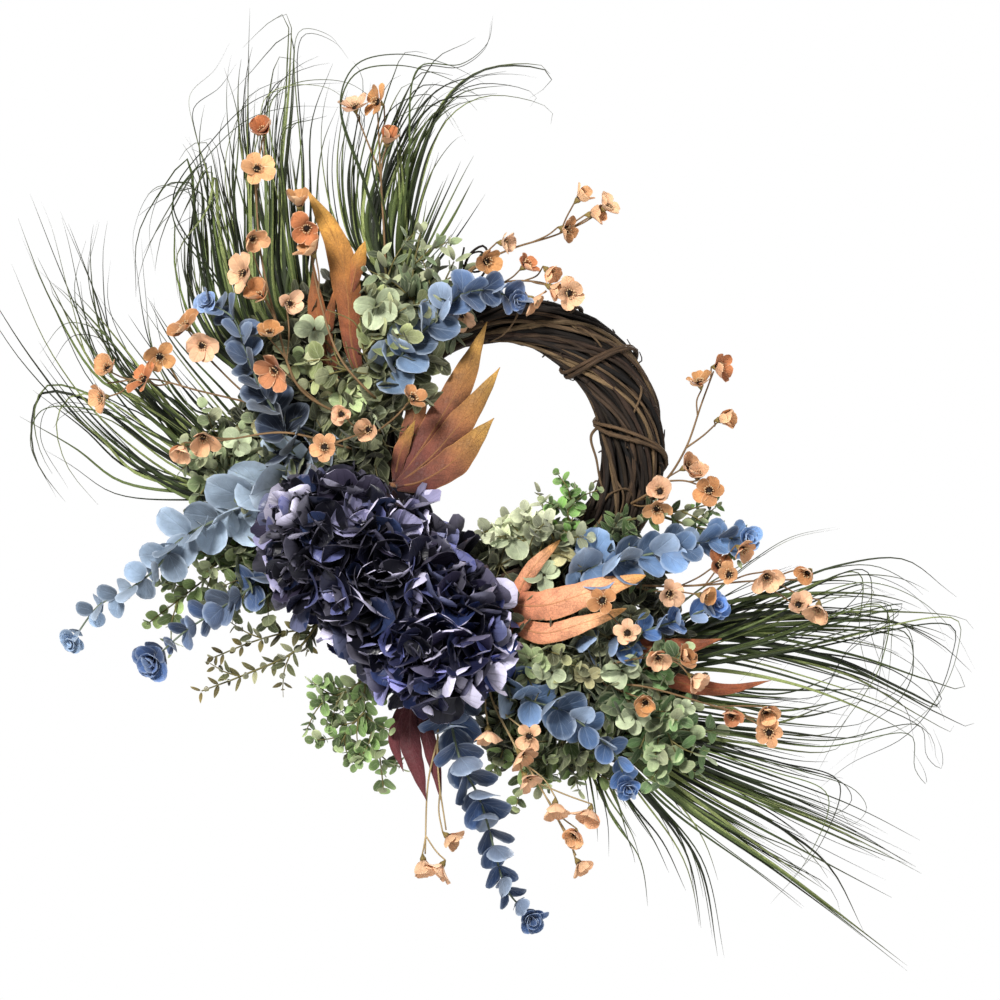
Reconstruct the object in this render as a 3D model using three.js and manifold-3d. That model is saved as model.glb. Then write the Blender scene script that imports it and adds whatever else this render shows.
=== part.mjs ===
// An autumn wreath: a twisted vine ring that hangs on a hook, with hydrangea heads, lobed autumn leaves,
// eucalyptus and small-leaved sprays, blossoms and grass whose stems are stuck into the ring.
//
// Millimetres. +X is right, +Z is up and -Y is toward the person who looks at the wreath.
// The origin is the inner top of the ring, where the wreath rests on its hook.

import * as THREE from "three";
import { mergeVertices } from "three/addons/utils/BufferGeometryUtils.js";
import Module from "manifold-3d";

const wasm = await Module();
wasm.setup();

// Driving dimensions

// The ring: its middle lies this far below the hook's point.
const RING_CENTRE = new THREE.Vector3(0, 0, -102);
// Every 36 degrees round from +X: the radius of the tube's middle line, and the tube's own radius.
const RING_PROFILE = [
  [134, 33],
  [132, 33],
  [128, 27],
  [124, 21],
  [130, 27],
  [131, 29],
  [131, 29],
  [131, 29],
  [132, 29],
  [137, 33],
];
const RING_FLATNESS = 0.86;
const RING_STEPS = 26;
const RING_RIDGES = 7;
const RING_RIDGE_DEPTH = 0.16;
const RING_TWISTS = 3;

// What touches keeps this gap, and no other pieces come nearer to each other than it.
const SEAT_GAP = 0.3;
const OWN_GAP = 0.05;
const FUSE_TOLERANCE = 0.08;
const ROOT_DEPTH = 9;
// What grows out of a stem takes this much of its length on each side of its middle.
const GROW_HALF = 1.3;
// A stem's tip is this share of its thickness at the ring, and a side stem this share of the main one.
const STEM_TIP_SHARE = 0.6;
const FORK_SHARE = 0.8;

const BLUE_STEM_RADIUS = 1.5;
const GREEN_STEM_RADIUS = 1.2;
const BLOSSOM_STEM_RADIUS = 1.2;
const BLOSSOM_TWIG_RADIUS = 0.8;
const TUFT_STEM_RADIUS = 3.6;
const BLADE_RADIUS = [1.5, 0.6];

const LEAF_THICKNESS = 1.6;
// An autumn lobe's half width is never less than this share, and its edges droop by this share of it.
const LOBE_TIP_SHARE = 0.07;
const LOBE_DROOP = 0.25;
const BLOSSOM_RADIUS = 16;
const BLOSSOM_PETALS = 4;
const BLOSSOM_RISE = 5;
// How far a blossom's middle stands in front of its stem's nearest point.
const BLOSSOM_FRONT = [8, 15];
const STUB_RADIUS = 4;
const NECK_RADIUS = 3.5;
const CORE_SHARE = 0.84;
const FLORET_RADIUS = 22;
const FLORET_COUNT = 38;
const FLORET_PETALS = 4;
const FLORET_RISE = 5;
// How far the florets' middles stand off the core.
const FLORET_HEIGHT = [9, 18];
// A petal's shoulders, as shares of its half angle and of the flower's radius, and the notch beside it.
const PETAL_SHOULDER = { angle: 0.6, radius: 0.93 };
const PETAL_NOTCH = 0.45;

// The wall behind the wreath: nothing reaches past it.
const WALL_Y = 30;

// Directions

const TO_VIEWER = new THREE.Vector3(0, -1, 0);

const vec = (p) => new THREE.Vector3(p[0], p[1], p[2]);

// A fixed shake between 0 and 1 for item i, so that each build is the same.
function shake(i, k = 0) {
  const s = Math.sin(i * 12.9898 + k * 78.233 + 4.1) * 43758.5453;
  return s - Math.floor(s);
}

const mix = (a, b, t) => a + (b - a) * t;

// Solids, each a list of points and the triangles that index it, so that one can grow out of a face of
// another: the two faces that meet are dropped when a piece is put together.

function manifoldOf({ points, triangles }) {
  const vertProperties = new Float32Array(points.flatMap((p) => [p.x, p.y, p.z]));
  const triVerts = new Uint32Array(triangles.flat());
  return new wasm.Manifold(new wasm.Mesh({ numProp: 3, vertProperties, triVerts }));
}

function curveThrough(points) {
  return new THREE.CatmullRomCurve3(points.map(vec), false, "centripetal");
}

// The triangles of a face of three or four corners, split the same way wherever it is used.
function faceTriangles(corners, turned = false) {
  const [a, b, c, d] = corners;
  const split = corners.length === 3 ? [[a, b, c]] : [[a, b, d], [b, c, d]];
  return turned ? split.map(([p, q, r]) => [p, r, q]) : split;
}

// A tapering rod along a curve with a ring of points at each share of its length. It starts from the
// corners of a face that it grows out of, or from a first ring of its own, and ends in a flat cap.
function rod(curve, shares, radiusAt, sides, base = null, capped = true) {
  const tangents = shares.map((t) => curve.getTangentAt(t));
  const normals = [];
  if (base) {
    const middle = base.reduce((sum, p) => sum.add(p), new THREE.Vector3()).divideScalar(base.length);
    normals[0] = base[0].clone().sub(middle);
    for (let i = 0; i < shares.length; i++) {
      const from = normals[Math.max(0, i - 1)];
      normals[i] = from.clone().addScaledVector(tangents[i], -from.dot(tangents[i])).normalize();
    }
  } else {
    // Turned so that at the tip the first corner points half way between the side and the viewer.
    const end = shares.length - 1;
    const side = new THREE.Vector3().crossVectors(tangents[end], TO_VIEWER).normalize();
    const front = new THREE.Vector3().crossVectors(side, tangents[end]);
    normals[end] = side.add(front).normalize();
    for (let i = end - 1; i >= 0; i--) {
      const from = normals[i + 1];
      normals[i] = from.clone().addScaledVector(tangents[i], -from.dot(tangents[i])).normalize();
    }
  }
  const points = base ? base.map((p) => p.clone()) : [];
  shares.forEach((t, i) => {
    const centre = curve.getPointAt(t);
    const over = new THREE.Vector3().crossVectors(tangents[i], normals[i]);
    for (let j = 0; j < sides; j++) {
      const angle = (2 * Math.PI * j) / sides;
      const across = normals[i].clone().multiplyScalar(radiusAt(t) * Math.cos(angle));
      points.push(centre.clone().add(across).addScaledVector(over, radiusAt(t) * Math.sin(angle)));
    }
  });
  const rings = points.length / sides;
  const triangles = [];
  const corner = (i, j) => i * sides + (j % sides);
  const ring = (i) => Array.from({ length: sides }, (_, j) => corner(i, j));
  const patch = (i, j) => [corner(i, j), corner(i, j + 1), corner(i + 1, j + 1), corner(i + 1, j)];
  triangles.push(...faceTriangles(ring(0), true));
  for (let i = 0; i < rings - 1; i++) {
    for (let j = 0; j < sides; j++) triangles.push(...faceTriangles(patch(i, j)));
  }
  if (capped) triangles.push(...faceTriangles(ring(rings - 1)));
  // The face of side j between rings i and i + 1.
  const face = (i, j) => patch(i, j).map((k) => points[k]);
  return { points, triangles, sides, rings, face, lastRing: ring(rings - 1) };
}

// A thin leaf that grows out of a four-cornered face: the outline is shared by its two sides, and
// each side is fanned from the face's upper or lower corners.
function leafOn(corners, axis, normal, length, width, count, cup) {
  const [a, b, c, d] = [0, 1, 2, 3];
  const base = corners.reduce((sum, p) => sum.add(p), new THREE.Vector3()).divideScalar(4);
  const side = new THREE.Vector3().crossVectors(normal, axis).normalize();
  const points = corners.map((p) => p.clone());
  for (let k = 1; k <= count; k++) {
    const angle = (2 * Math.PI * k) / (count + 1);
    const across = Math.sin(angle);
    const place = base.clone().addScaledVector(axis, (length / 2) * (1 - Math.cos(angle)));
    place.addScaledVector(side, (width / 2) * across).addScaledVector(normal, cup * across * across);
    points.push(place);
  }
  const rim = (k) => 3 + k;
  const tip = Math.ceil(count / 2);
  const triangles = [...faceTriangles([a, b, c, d], true), [b, c, rim(1)], [d, a, rim(count)]];
  for (let k = 1; k < tip; k++) {
    triangles.push([c, rim(k + 1), rim(k)], [b, rim(k), rim(k + 1)]);
  }
  triangles.push([c, d, rim(tip)], [a, b, rim(tip)]);
  for (let k = tip; k < count; k++) {
    triangles.push([d, rim(k + 1), rim(k)], [a, rim(k), rim(k + 1)]);
  }
  return { points, triangles };
}

// Round petals on the last ring of a rod: petals of two shoulders and a notch, cupped by rise.
function flowerOn(stalk, centre, normal, spin, radius, petals, rise) {
  const sides = stalk.sides;
  const start = stalk.points.length;
  const points = [...stalk.points];
  const triangles = [...stalk.triangles];
  const first = stalk.points[stalk.lastRing[0]].clone().sub(centre);
  const across = first.addScaledVector(normal, -first.dot(normal)).normalize();
  const over = new THREE.Vector3().crossVectors(normal, across);
  const half = Math.PI / petals;
  const corner = (angle, r, h) => {
    const place = centre.clone().addScaledVector(across, r * Math.cos(angle));
    points.push(place.addScaledVector(over, r * Math.sin(angle)).addScaledVector(normal, h));
  };
  for (let k = 0; k < petals; k++) {
    const middle = spin + 2 * half * k;
    const shoulder = half * PETAL_SHOULDER.angle;
    corner(middle - shoulder, radius * PETAL_SHOULDER.radius, rise);
    corner(middle + shoulder, radius * PETAL_SHOULDER.radius, rise * 0.7);
    corner(middle + half, radius * PETAL_NOTCH, rise * 0.2);
  }
  const count = petals * 3;
  // The under side joins the rim to the rod's last ring, each rim point to the ring point nearest to it.
  const owner = [];
  for (let k = 0; k < count; k++) {
    const petal = Math.floor(k / 3);
    const offset = [-PETAL_SHOULDER.angle, PETAL_SHOULDER.angle, 1][k % 3] * half;
    const angle = spin + 2 * half * petal + offset;
    owner.push(Math.round((angle / (2 * Math.PI)) * sides));
  }
  for (let k = 0; k < count; k++) {
    const next = (k + 1) % count;
    const from = owner[k];
    const to = next === 0 ? owner[0] + sides : owner[next];
    const ringPoint = (m) => stalk.lastRing[((m % sides) + sides) % sides];
    for (let m = from; m < to; m++) triangles.push([ringPoint(m), ringPoint(m + 1), start + k]);
    triangles.push([start + k, ringPoint(to), start + next]);
  }
  points.push(centre.clone().addScaledVector(normal, -rise * 0.05));
  for (let k = 0; k < count; k++) triangles.push([start + k, start + ((k + 1) % count), points.length - 1]);
  return { points, triangles };
}

// A long pointed lobe of a leaf along a line of points, with a raised midrib on both faces.
function leafLobe(route, width) {
  const curve = curveThrough(route);
  const steps = route.length < 4 ? 3 : 5;
  const points = [];
  const triangles = [];
  for (let i = 0; i <= steps; i++) {
    const t = i / steps;
    const p = curve.getPointAt(t);
    const tangent = curve.getTangentAt(t);
    const side = new THREE.Vector3().crossVectors(tangent, TO_VIEWER).normalize();
    const face = new THREE.Vector3().crossVectors(side, tangent).normalize();
    const half = (width / 2) * Math.max(LOBE_TIP_SHARE, Math.sin(Math.PI * Math.pow(mix(0.12, 1, t), 0.8)));
    const droop = half * LOBE_DROOP;
    const lift = LEAF_THICKNESS * mix(0.8, 0.4, t);
    points.push(p.clone().addScaledVector(side, half).addScaledVector(face, -droop));
    points.push(p.clone().addScaledVector(face, -lift));
    points.push(p.clone().addScaledVector(side, -half).addScaledVector(face, -droop));
    points.push(p.clone().addScaledVector(face, lift));
  }
  for (let i = 0; i < steps; i++) {
    for (let j = 0; j < 4; j++) {
      const a = i * 4 + j;
      const b = i * 4 + ((j + 1) % 4);
      triangles.push(...faceTriangles([a, b, b + 4, a + 4]));
    }
  }
  const last = steps * 4;
  triangles.push(...faceTriangles([0, 1, 2, 3], true));
  triangles.push(...faceTriangles([last, last + 1, last + 2, last + 3]));
  return { points, triangles };
}

// Pieces, each a list of items that hold together, kept clear of all other pieces

const pieces = new Map();

function touches(box, other, gap) {
  for (let k = 0; k < 3; k++) {
    if (box.min[k] - gap > other.max[k] || other.min[k] - gap > box.max[k]) return false;
  }
  return true;
}

// Whether a solid keeps clear of the other pieces, and its free part of what grows on its own piece.
function isClear(name, solid, free) {
  const box = solid.boundingBox();
  for (const [other, piece] of pieces) {
    const own = other === name;
    const gap = own ? OWN_GAP : SEAT_GAP;
    if (!touches(box, piece.box, gap)) continue;
    for (const item of piece.items) {
      if (own && !item.free) continue;
      const [tested, from] = own ? [free, item.free] : [solid, item.solid];
      if (touches(box, item.box, gap) && tested.minGap(from, 2 * gap) < gap) return false;
    }
  }
  return true;
}

function addItem(name, mesh, solid = manifoldOf(mesh), free = null) {
  const box = solid.boundingBox();
  if (!pieces.has(name)) {
    pieces.set(name, { items: [], box: { min: [...box.min], max: [...box.max] } });
  }
  const piece = pieces.get(name);
  piece.items.push({ mesh, solid, box, free });
  for (let k = 0; k < 3; k++) {
    piece.box.min[k] = Math.min(piece.box.min[k], box.min[k]);
    piece.box.max[k] = Math.max(piece.box.max[k], box.max[k]);
  }
}

// Adds the first of the ways to make an item that stays clear of all that is there already.
function grow(name, make, ways) {
  for (const way of ways) {
    const { mesh, free } = make(way);
    const solid = manifoldOf(mesh);
    const freeSolid = free ? manifoldOf(free) : solid;
    if (isClear(name, solid, freeSolid)) {
      addItem(name, mesh, solid, freeSolid);
      return true;
    }
  }
  return false;
}

// The vine ring

const ringProfile = new THREE.CatmullRomCurve3(
  RING_PROFILE.map(([radius, tube]) => new THREE.Vector3(radius, tube, 0)),
  true,
  "catmullrom",
);
const TURN = 2 * Math.PI;

// The place on the tube's surface at turn (0 to 1 round the ring) and angle round the tube.
function onRing(turn, angle, radiusOf) {
  const { x: middle, y: tube } = ringProfile.getPoint(turn);
  const out = new THREE.Vector3(Math.cos(turn * TURN), 0, Math.sin(turn * TURN));
  const radius = radiusOf(tube);
  return RING_CENTRE.clone()
    .addScaledVector(out, middle + radius * Math.cos(angle))
    .addScaledVector(TO_VIEWER, radius * Math.sin(angle) * RING_FLATNESS);
}

// How far inside the ring's tube a point lies; less than zero is outside.
function ringDepth(point) {
  const from = point.clone().sub(RING_CENTRE);
  const turn = (Math.atan2(from.z, from.x) / TURN + 1) % 1;
  const { x: middle, y: tube } = ringProfile.getPoint(turn);
  return tube - Math.hypot(Math.hypot(from.x, from.z) - middle, from.y / RING_FLATNESS);
}

function ringBody() {
  const around = RING_RIDGES * 2;
  const points = [];
  const triangles = [];
  for (let i = 0; i < RING_STEPS; i++) {
    const turn = i / RING_STEPS;
    for (let j = 0; j < around; j++) {
      const valley = j % 2 === 1;
      const uneven = 1 - 0.07 * shake(j >> 1, i % 5);
      const twist = TURN * (turn * RING_TWISTS + j / around);
      points.push(onRing(turn, twist, (tube) => tube * uneven * (valley ? 1 - RING_RIDGE_DEPTH : 1)));
    }
  }
  // The ridges twist by whole turns, so the last ring of points meets the first one.
  for (let i = 0; i < RING_STEPS; i++) {
    const next = ((i + 1) % RING_STEPS) * around;
    for (let j = 0; j < around; j++) {
      const k = (j + 1) % around;
      triangles.push(...faceTriangles([i * around + j, next + j, next + k, i * around + k]));
    }
  }
  return manifoldOf({ points, triangles });
}

// Two thin vines bind the ring's strands at the right: where each begins and ends round the ring and
// round its tube, and how far its middle line stands off the tube so that it just clears the ridges.
const BINDING_VINES = [
  {
    name: "binding_vine_upper",
    turns: [0.085, 0.175],
    angles: [-1.2, TURN + 0.6],
    lift: 2.4,
    radius: 2.6,
    steps: 18,
  },
  {
    name: "binding_vine_lower",
    turns: [-0.03, 0.06],
    angles: [-0.9, TURN * 0.72],
    lift: 1.2,
    radius: 2.2,
    steps: 15,
  },
];
const BINDING_SIDES = 4;
const BINDING_ROUTE_POINTS = 28;

// A vine that runs along the ring while it goes round the tube.
function bindingVine({ turns, angles, lift, radius, steps }) {
  const route = [];
  for (let i = 0; i <= BINDING_ROUTE_POINTS; i++) {
    const t = i / BINDING_ROUTE_POINTS;
    const turn = (mix(turns[0], turns[1], t) + 1) % 1;
    route.push(onRing(turn, mix(angles[0], angles[1], t), (tube) => tube + lift).toArray());
  }
  const shares = Array.from({ length: steps + 1 }, (_, i) => i / steps);
  return rod(curveThrough(route), shares, (t) => radius * (1 - 0.3 * Math.abs(2 * t - 1)), BINDING_SIDES);
}

// Stems: each begins a little inside the ring, in a plain hole, and has rings of points where things grow

const holes = [];

function shareAtDepth(curve, depth) {
  let found = 0;
  for (let k = 0; k <= 200; k++) {
    if (ringDepth(curve.getPointAt(k / 200)) > depth) found = k / 200;
    else break;
  }
  return found;
}

// Moves the places apart so that each keeps the given gap to the next, without changing their order.
function spread(places, gap, least, most) {
  const order = places.map((t, i) => [t, i]).sort((p, q) => p[0] - q[0]);
  order.forEach((entry, k) => {
    entry[0] = Math.max(entry[0], k ? order[k - 1][0] + gap : least);
  });
  for (let k = order.length - 1; k >= 0; k--) {
    const limit = k === order.length - 1 ? most : order[k + 1][0] - gap;
    order[k][0] = Math.min(order[k][0], limit);
  }
  const moved = [];
  for (const [t, i] of order) moved[i] = t;
  return moved;
}

function addStem(name, curve, radius, steps, places, sides, base = null) {
  const length = curve.getLength();
  const half = GROW_HALF / length;
  const root = base ? 2 / length : shareAtDepth(curve, ROOT_DEPTH);
  const mouth = base ? root : shareAtDepth(curve, -3) + 0.005;
  const seats = spread(places, 3.2 * half, mouth + 2 * half, 1 - 1.5 * half);
  const near = (t) => seats.some((seat) => Math.abs(seat - t) < 2.5 * half);
  const shares = [root];
  if (!base) shares.push(mouth);
  for (let i = 1; i <= steps; i++) {
    const t = mix(mouth, 1, i / steps);
    if (i === steps || !near(t)) shares.push(t);
  }
  for (const seat of seats) shares.push(seat - half, seat + half);
  shares.sort((p, q) => p - q);
  const made = rod(curve, shares, (t) => radius * mix(1, STEM_TIP_SHARE, t), sides, base);
  addItem(name, made);
  if (!base) {
    holes.push({ from: curve.getPointAt(root), to: curve.getPointAt(mouth), radius });
  }
  return { curve, made, shares, seats, half, first: base ? 1 : 0, used: new Set() };
}

// The free face at a seat that looks most nearly the given way.
function faceAt(stem, seat, way) {
  const i = stem.shares.findIndex((t) => Math.abs(t - (seat - stem.half)) < 1e-9) + stem.first;
  let best = null;
  for (let j = 0; j < stem.made.sides; j++) {
    const key = i * 10 + j;
    if (stem.used.has(key)) continue;
    const corners = stem.made.face(i, j);
    const along = corners[1].clone().sub(corners[0]);
    const outward = along.cross(corners[3].clone().sub(corners[0])).normalize();
    const match = outward.dot(way);
    if (!best || match > best.match) best = { corners, outward, match, key };
  }
  return best;
}

const middleOf = (corners) =>
  corners.reduce((sum, p) => sum.add(p), new THREE.Vector3()).divideScalar(corners.length);

// The share of a curve that is nearest to a point, as the viewer sees them.
function nearestShare(curve, x, z, from = 0.2) {
  let best = { gap: Infinity };
  for (let k = 0; k <= 48; k++) {
    const t = mix(from, 1, k / 48);
    const p = curve.getPointAt(t);
    const gap = Math.hypot(p.x - x, p.z - z);
    if (gap < best.gap) best = { gap, t, y: p.y };
  }
  return best;
}

// Hydrangea heads: a core that the florets stand out of, and a stub that goes back into the ring

const HYDRANGEAS = [
  {
    name: "hydrangea_upper",
    centre: [-165, -68, -202],
    half: [62, 46, 62],
    other: [-65, -68, -292],
    root: [-112, -10, -170],
  },
  {
    name: "hydrangea_lower",
    centre: [-65, -68, -292],
    half: [65, 47, 65],
    other: [-165, -68, -202],
    root: [-44, -10, -226],
  },
];

function addHydrangeaCore(head) {
  const shape = new THREE.IcosahedronGeometry(1, 2);
  shape.deleteAttribute("normal");
  shape.deleteAttribute("uv");
  const merged = mergeVertices(shape, 1e-4);
  const at = merged.getAttribute("position");
  const points = [];
  for (let i = 0; i < at.count; i++) {
    const direction = new THREE.Vector3().fromBufferAttribute(at, i);
    points.push(direction.multiply(vec(head.half)).multiplyScalar(CORE_SHARE).add(vec(head.centre)));
  }
  const triangles = [];
  const index = merged.index.array;
  for (let i = 0; i < index.length; i += 3) triangles.push([index[i], index[i + 1], index[i + 2]]);
  addItem(head.name, { points, triangles });
  return triangles.map((corners) => ({ corners: corners.map((k) => points[k]), used: false }));
}

// The free face of the core that a ray from the head's centre meets, or the nearest to it.
function coreFace(head, faces, way) {
  const centre = vec(head.centre);
  let best = null;
  for (const face of faces) {
    if (face.used) continue;
    const match = middleOf(face.corners).sub(centre).normalize().dot(way);
    if (!best || match > best.match) best = { face, match };
  }
  return best.face;
}

function addStub(head, faces) {
  const root = vec(head.root);
  const face = coreFace(head, faces, root.clone().sub(vec(head.centre)).normalize());
  face.used = true;
  const start = middleOf(face.corners);
  const curve = new THREE.LineCurve3(start, root);
  const made = rod(curve, [0.2, 0.95], () => STUB_RADIUS, 3, face.corners);
  addItem(head.name, made);
  // The hole reaches from the stub's end to where the stub is well clear of the ring.
  let out = 0.95;
  while (ringDepth(curve.getPointAt(out)) > -6) out -= 0.01;
  holes.push({ from: curve.getPointAt(0.95), to: curve.getPointAt(out), radius: STUB_RADIUS });
}

// Ways to place a floret: its size, its lean away from the other head and how much farther out it stands.
const FLORET_WAYS = [
  [1, 0, 0],
  [1, 0.2, 4],
  [1, 0, -4],
  [0.85, 0.3, 5],
  [0.8, 0, 8],
  [0.7, 0.4, 0],
  [0.6, 0.3, 4],
];
// The florets stand from the dome's front to a little behind its rim.
const DOME = [0.99, -0.35];
const GOLDEN_ANGLE = Math.PI * (3 - Math.sqrt(5));

function placeFlorets(head, faces) {
  const centre = vec(head.centre);
  const half = vec(head.half);
  const away = vec(head.other).sub(centre);
  const reach = away.length() / 2;
  away.normalize();
  for (let i = 0; i < FLORET_COUNT; i++) {
    const forward = mix(DOME[0], DOME[1], (i + 0.5) / FLORET_COUNT);
    const angle = i * GOLDEN_ANGLE + 0.4;
    const rim = Math.sqrt(1 - forward * forward);
    const direction = new THREE.Vector3(rim * Math.cos(angle), -forward, rim * Math.sin(angle));
    const face = coreFace(head, faces, direction);
    const start = middleOf(face.corners);
    if (start.clone().sub(centre).dot(away) > reach - 6) continue;
    const normal = start.clone().sub(centre).divide(half).divide(half).normalize();
    const make = ([size, tilt, lift]) => {
      const turned = normal.clone().addScaledVector(away, -tilt);
      turned.x += 0.5 * (shake(i, 6) - 0.5);
      turned.z += 0.5 * (shake(i, 7) - 0.5);
      turned.normalize();
      const height = mix(FLORET_HEIGHT[0], FLORET_HEIGHT[1], shake(i, 3)) + lift;
      const middle = start.clone().addScaledVector(normal, height);
      const neck = new THREE.LineCurve3(start, middle);
      const stalk = rod(neck, [0.3], () => NECK_RADIUS, 3, face.corners, false);
      const closed = rod(neck, [0.25, 0.3], () => NECK_RADIUS, 3, null, false);
      const spin = shake(i) * 2;
      const radius = FLORET_RADIUS * size * mix(0.92, 1.08, shake(i, 5));
      const flower = (base) => flowerOn(base, middle, turned, spin, radius, FLORET_PETALS, FLORET_RISE);
      return { mesh: flower(stalk), free: flower(closed) };
    };
    if (grow(head.name, make, FLORET_WAYS)) face.used = true;
  }
}

// Autumn leaves: each has a stalk from the ring and lobes of [width, points along its midrib]

const AUTUMN_LEAVES = [
  {
    name: "autumn_leaf_top",
    stalk: [[-124, -6, -70], [-130, -26, -64], [-136, -32, -50]],
    lobes: [
      [31, [[-132, -30, -62], [-149, -34, 0], [-153, -37, 50], [-164, -38, 100], [-194, -36, 155]]],
      [17, [[-152, -35, 40], [-144, -38, 75], [-135, -42, 103]]],
      [16, [[-142, -33, -10], [-133, -35, 25], [-127, -38, 55]]],
    ],
  },
  {
    name: "autumn_leaf_brown",
    stalk: [[-126, -4, -84], [-150, -20, -70], [-168, -26, -45]],
    lobes: [
      [27, [[-160, -24, -58], [-176, -28, -10], [-185, -30, 40], [-187, -30, 80]]],
      [13, [[-174, -28, -14], [-172, -31, 20], [-165, -34, 58]]],
    ],
  },
  {
    name: "autumn_leaf_inner",
    stalk: [[-118, -8, -140], [-110, -30, -142], [-98, -38, -142]],
    lobes: [
      [28, [[-104, -37, -142], [-72, -36, -95], [-42, -35, -45], [-22, -34, 0], [-13, -33, 22]]],
      [26, [[-104, -38, -143], [-70, -43, -115], [-36, -44, -75], [-14, -42, -45], [0, -40, -24]]],
      [29, [[-104, -39, -144], [-78, -49, -138], [-45, -53, -117], [-20, -52, -90], [-6, -50, -75]]],
      [20, [[-104, -36, -140], [-90, -31, -90], [-80, -31, -50], [-70, -31, -17]]],
      [14, [[-106, -37, -138], [-100, -40, -110], [-85, -42, -77]]],
    ],
  },
  {
    name: "autumn_leaf_right",
    stalk: [[10, -6, -236], [14, -26, -250], [20, -36, -264]],
    lobes: [
      [32, [[12, -33, -262], [45, -58, -262], [100, -70, -245], [145, -74, -232]]],
      [26, [[14, -33, -264], [50, -54, -290], [100, -66, -277], [140, -68, -263]]],
      [17, [[14, -32, -258], [32, -44, -226], [60, -52, -197]]],
    ],
  },
  {
    name: "autumn_leaf_right_brown",
    stalk: [[68, -6, -213], [92, -22, -255], [108, -28, -296]],
    lobes: [
      [18, [[104, -27, -288], [145, -34, -304], [185, -40, -304], [222, -44, -296]]],
      [15, [[106, -28, -290], [150, -30, -328], [220, -34, -347], [272, -36, -338]]],
    ],
  },
  {
    name: "autumn_leaf_bottom",
    stalk: [[-62, -5, -219], [-78, -18, -290], [-90, -22, -350]],
    lobes: [
      [16, [[-88, -22, -345], [-106, -28, -395], [-97, -32, -430]]],
      [24, [[-88, -22, -345], [-90, -30, -400], [-82, -36, -430], [-74, -38, -458]]],
      [18, [[-88, -22, -345], [-74, -26, -390], [-64, -30, -430], [-59, -34, -460]]],
    ],
  },
];

function placeAutumnLeaf(leaf) {
  for (const [width, route] of leaf.lobes) {
    const make = (push) => ({ mesh: leafLobe(route.map(([x, y, z], i) => [x, y + push * i, z]), width) });
    for (const push of [0, -2, 2, -4, 4, -6]) {
      const { mesh } = make(push);
      const solid = manifoldOf(mesh);
      if (!isClear(leaf.name, solid, null)) continue;
      addItem(leaf.name, mesh, solid);
      break;
    }
  }
}

// Eucalyptus: stem points from the ring outward, leaf pairs, leaf size at the first pair and at the tip,
// and how far along the stem the leaves begin

const BLUE_SPRAYS = [
  {
    name: "blue_spray_left",
    stem: [
      [-123, -6, -126], [-165, -16, -132], [-235, -34, -147], [-275, -48, -172], [-320, -56, -197],
      [-345, -60, -227], [-372, -60, -247], [-400, -58, -262], [-427, -54, -297],
    ],
    pairs: 9,
    size: [40, 11],
    from: 0.3,
  },
  {
    name: "blue_spray_lower_left",
    stem: [
      [-117, -5, -161], [-160, -14, -195], [-230, -30, -232], [-260, -44, -252], [-285, -50, -269],
      [-313, -54, -287], [-345, -56, -315],
    ],
    pairs: 7,
    size: [31, 17],
    from: 0.48,
  },
  {
    name: "blue_spray_upper_left",
    stem: [
      [-130, -6, -84], [-165, -24, -100], [-206, -42, -110], [-217, -50, -82], [-238, -56, -47],
      [-255, -60, -7], [-265, -60, 23], [-290, -58, 40],
    ],
    pairs: 7,
    size: [34, 18],
    from: 0.4,
  },
  {
    name: "blue_spray_top",
    stem: [
      [-104, -6, -24], [-110, -34, -27], [-92, -52, -4], [-60, -58, 28], [-35, -60, 50], [-5, -58, 51],
      [15, -52, 43],
    ],
    pairs: 7,
    size: [31, 17],
    from: 0.24,
  },
  {
    name: "blue_spray_right_upper",
    stem: [
      [62, -6, -222], [76, -34, -228], [112, -52, -220], [145, -58, -212], [180, -60, -205],
      [215, -60, -196], [245, -56, -195],
    ],
    pairs: 7,
    size: [30, 15],
    from: 0.2,
  },
  {
    name: "blue_spray_right_middle",
    stem: [
      [42, -6, -229], [62, -22, -268], [100, -34, -302], [155, -42, -285], [185, -46, -275],
      [215, -46, -263],
    ],
    pairs: 6,
    size: [27, 15],
    from: 0.5,
  },
  {
    name: "blue_spray_right_lower",
    stem: [
      [-3, -6, -232], [-4, -18, -280], [2, -32, -335], [30, -46, -357], [60, -54, -367], [90, -58, -387],
      [115, -58, -412], [127, -54, -442],
    ],
    pairs: 7,
    size: [31, 17],
    from: 0.42,
  },
  {
    name: "blue_spray_bottom",
    stem: [
      [-31, -6, -230], [-42, -17, -300], [-49, -28, -375], [-38, -46, -422], [-22, -52, -452],
      [-12, -54, -482], [-3, -54, -517], [7, -52, -547], [30, -50, -574],
    ],
    pairs: 9,
    size: [33, 14],
    from: 0.36,
  },
];

// The leaf pairs' places on a stem, from its first leafy part to its tip.
const pairPlaces = (pairs, from) => Array.from({ length: pairs }, (_, i) => mix(from, 1, (i + 0.5) / pairs));

// Ways to place a leaf: its swing to the side, its lift toward the tip, how far it faces the viewer
// and its size.
const LEAF_WAYS = [
  [0, 0.7, 0.5, 1],
  [0.4, 0.9, 0.5, 1],
  [-0.4, 0.9, 0.5, 1],
  [0.8, 0.6, 0.4, 1],
  [-0.8, 0.6, 0.4, 0.9],
  [0, 1.1, 0.3, 0.9],
  [0.3, 0.3, 0.5, 0.75],
  [0, 0.5, 0.2, 0.6],
];

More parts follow.
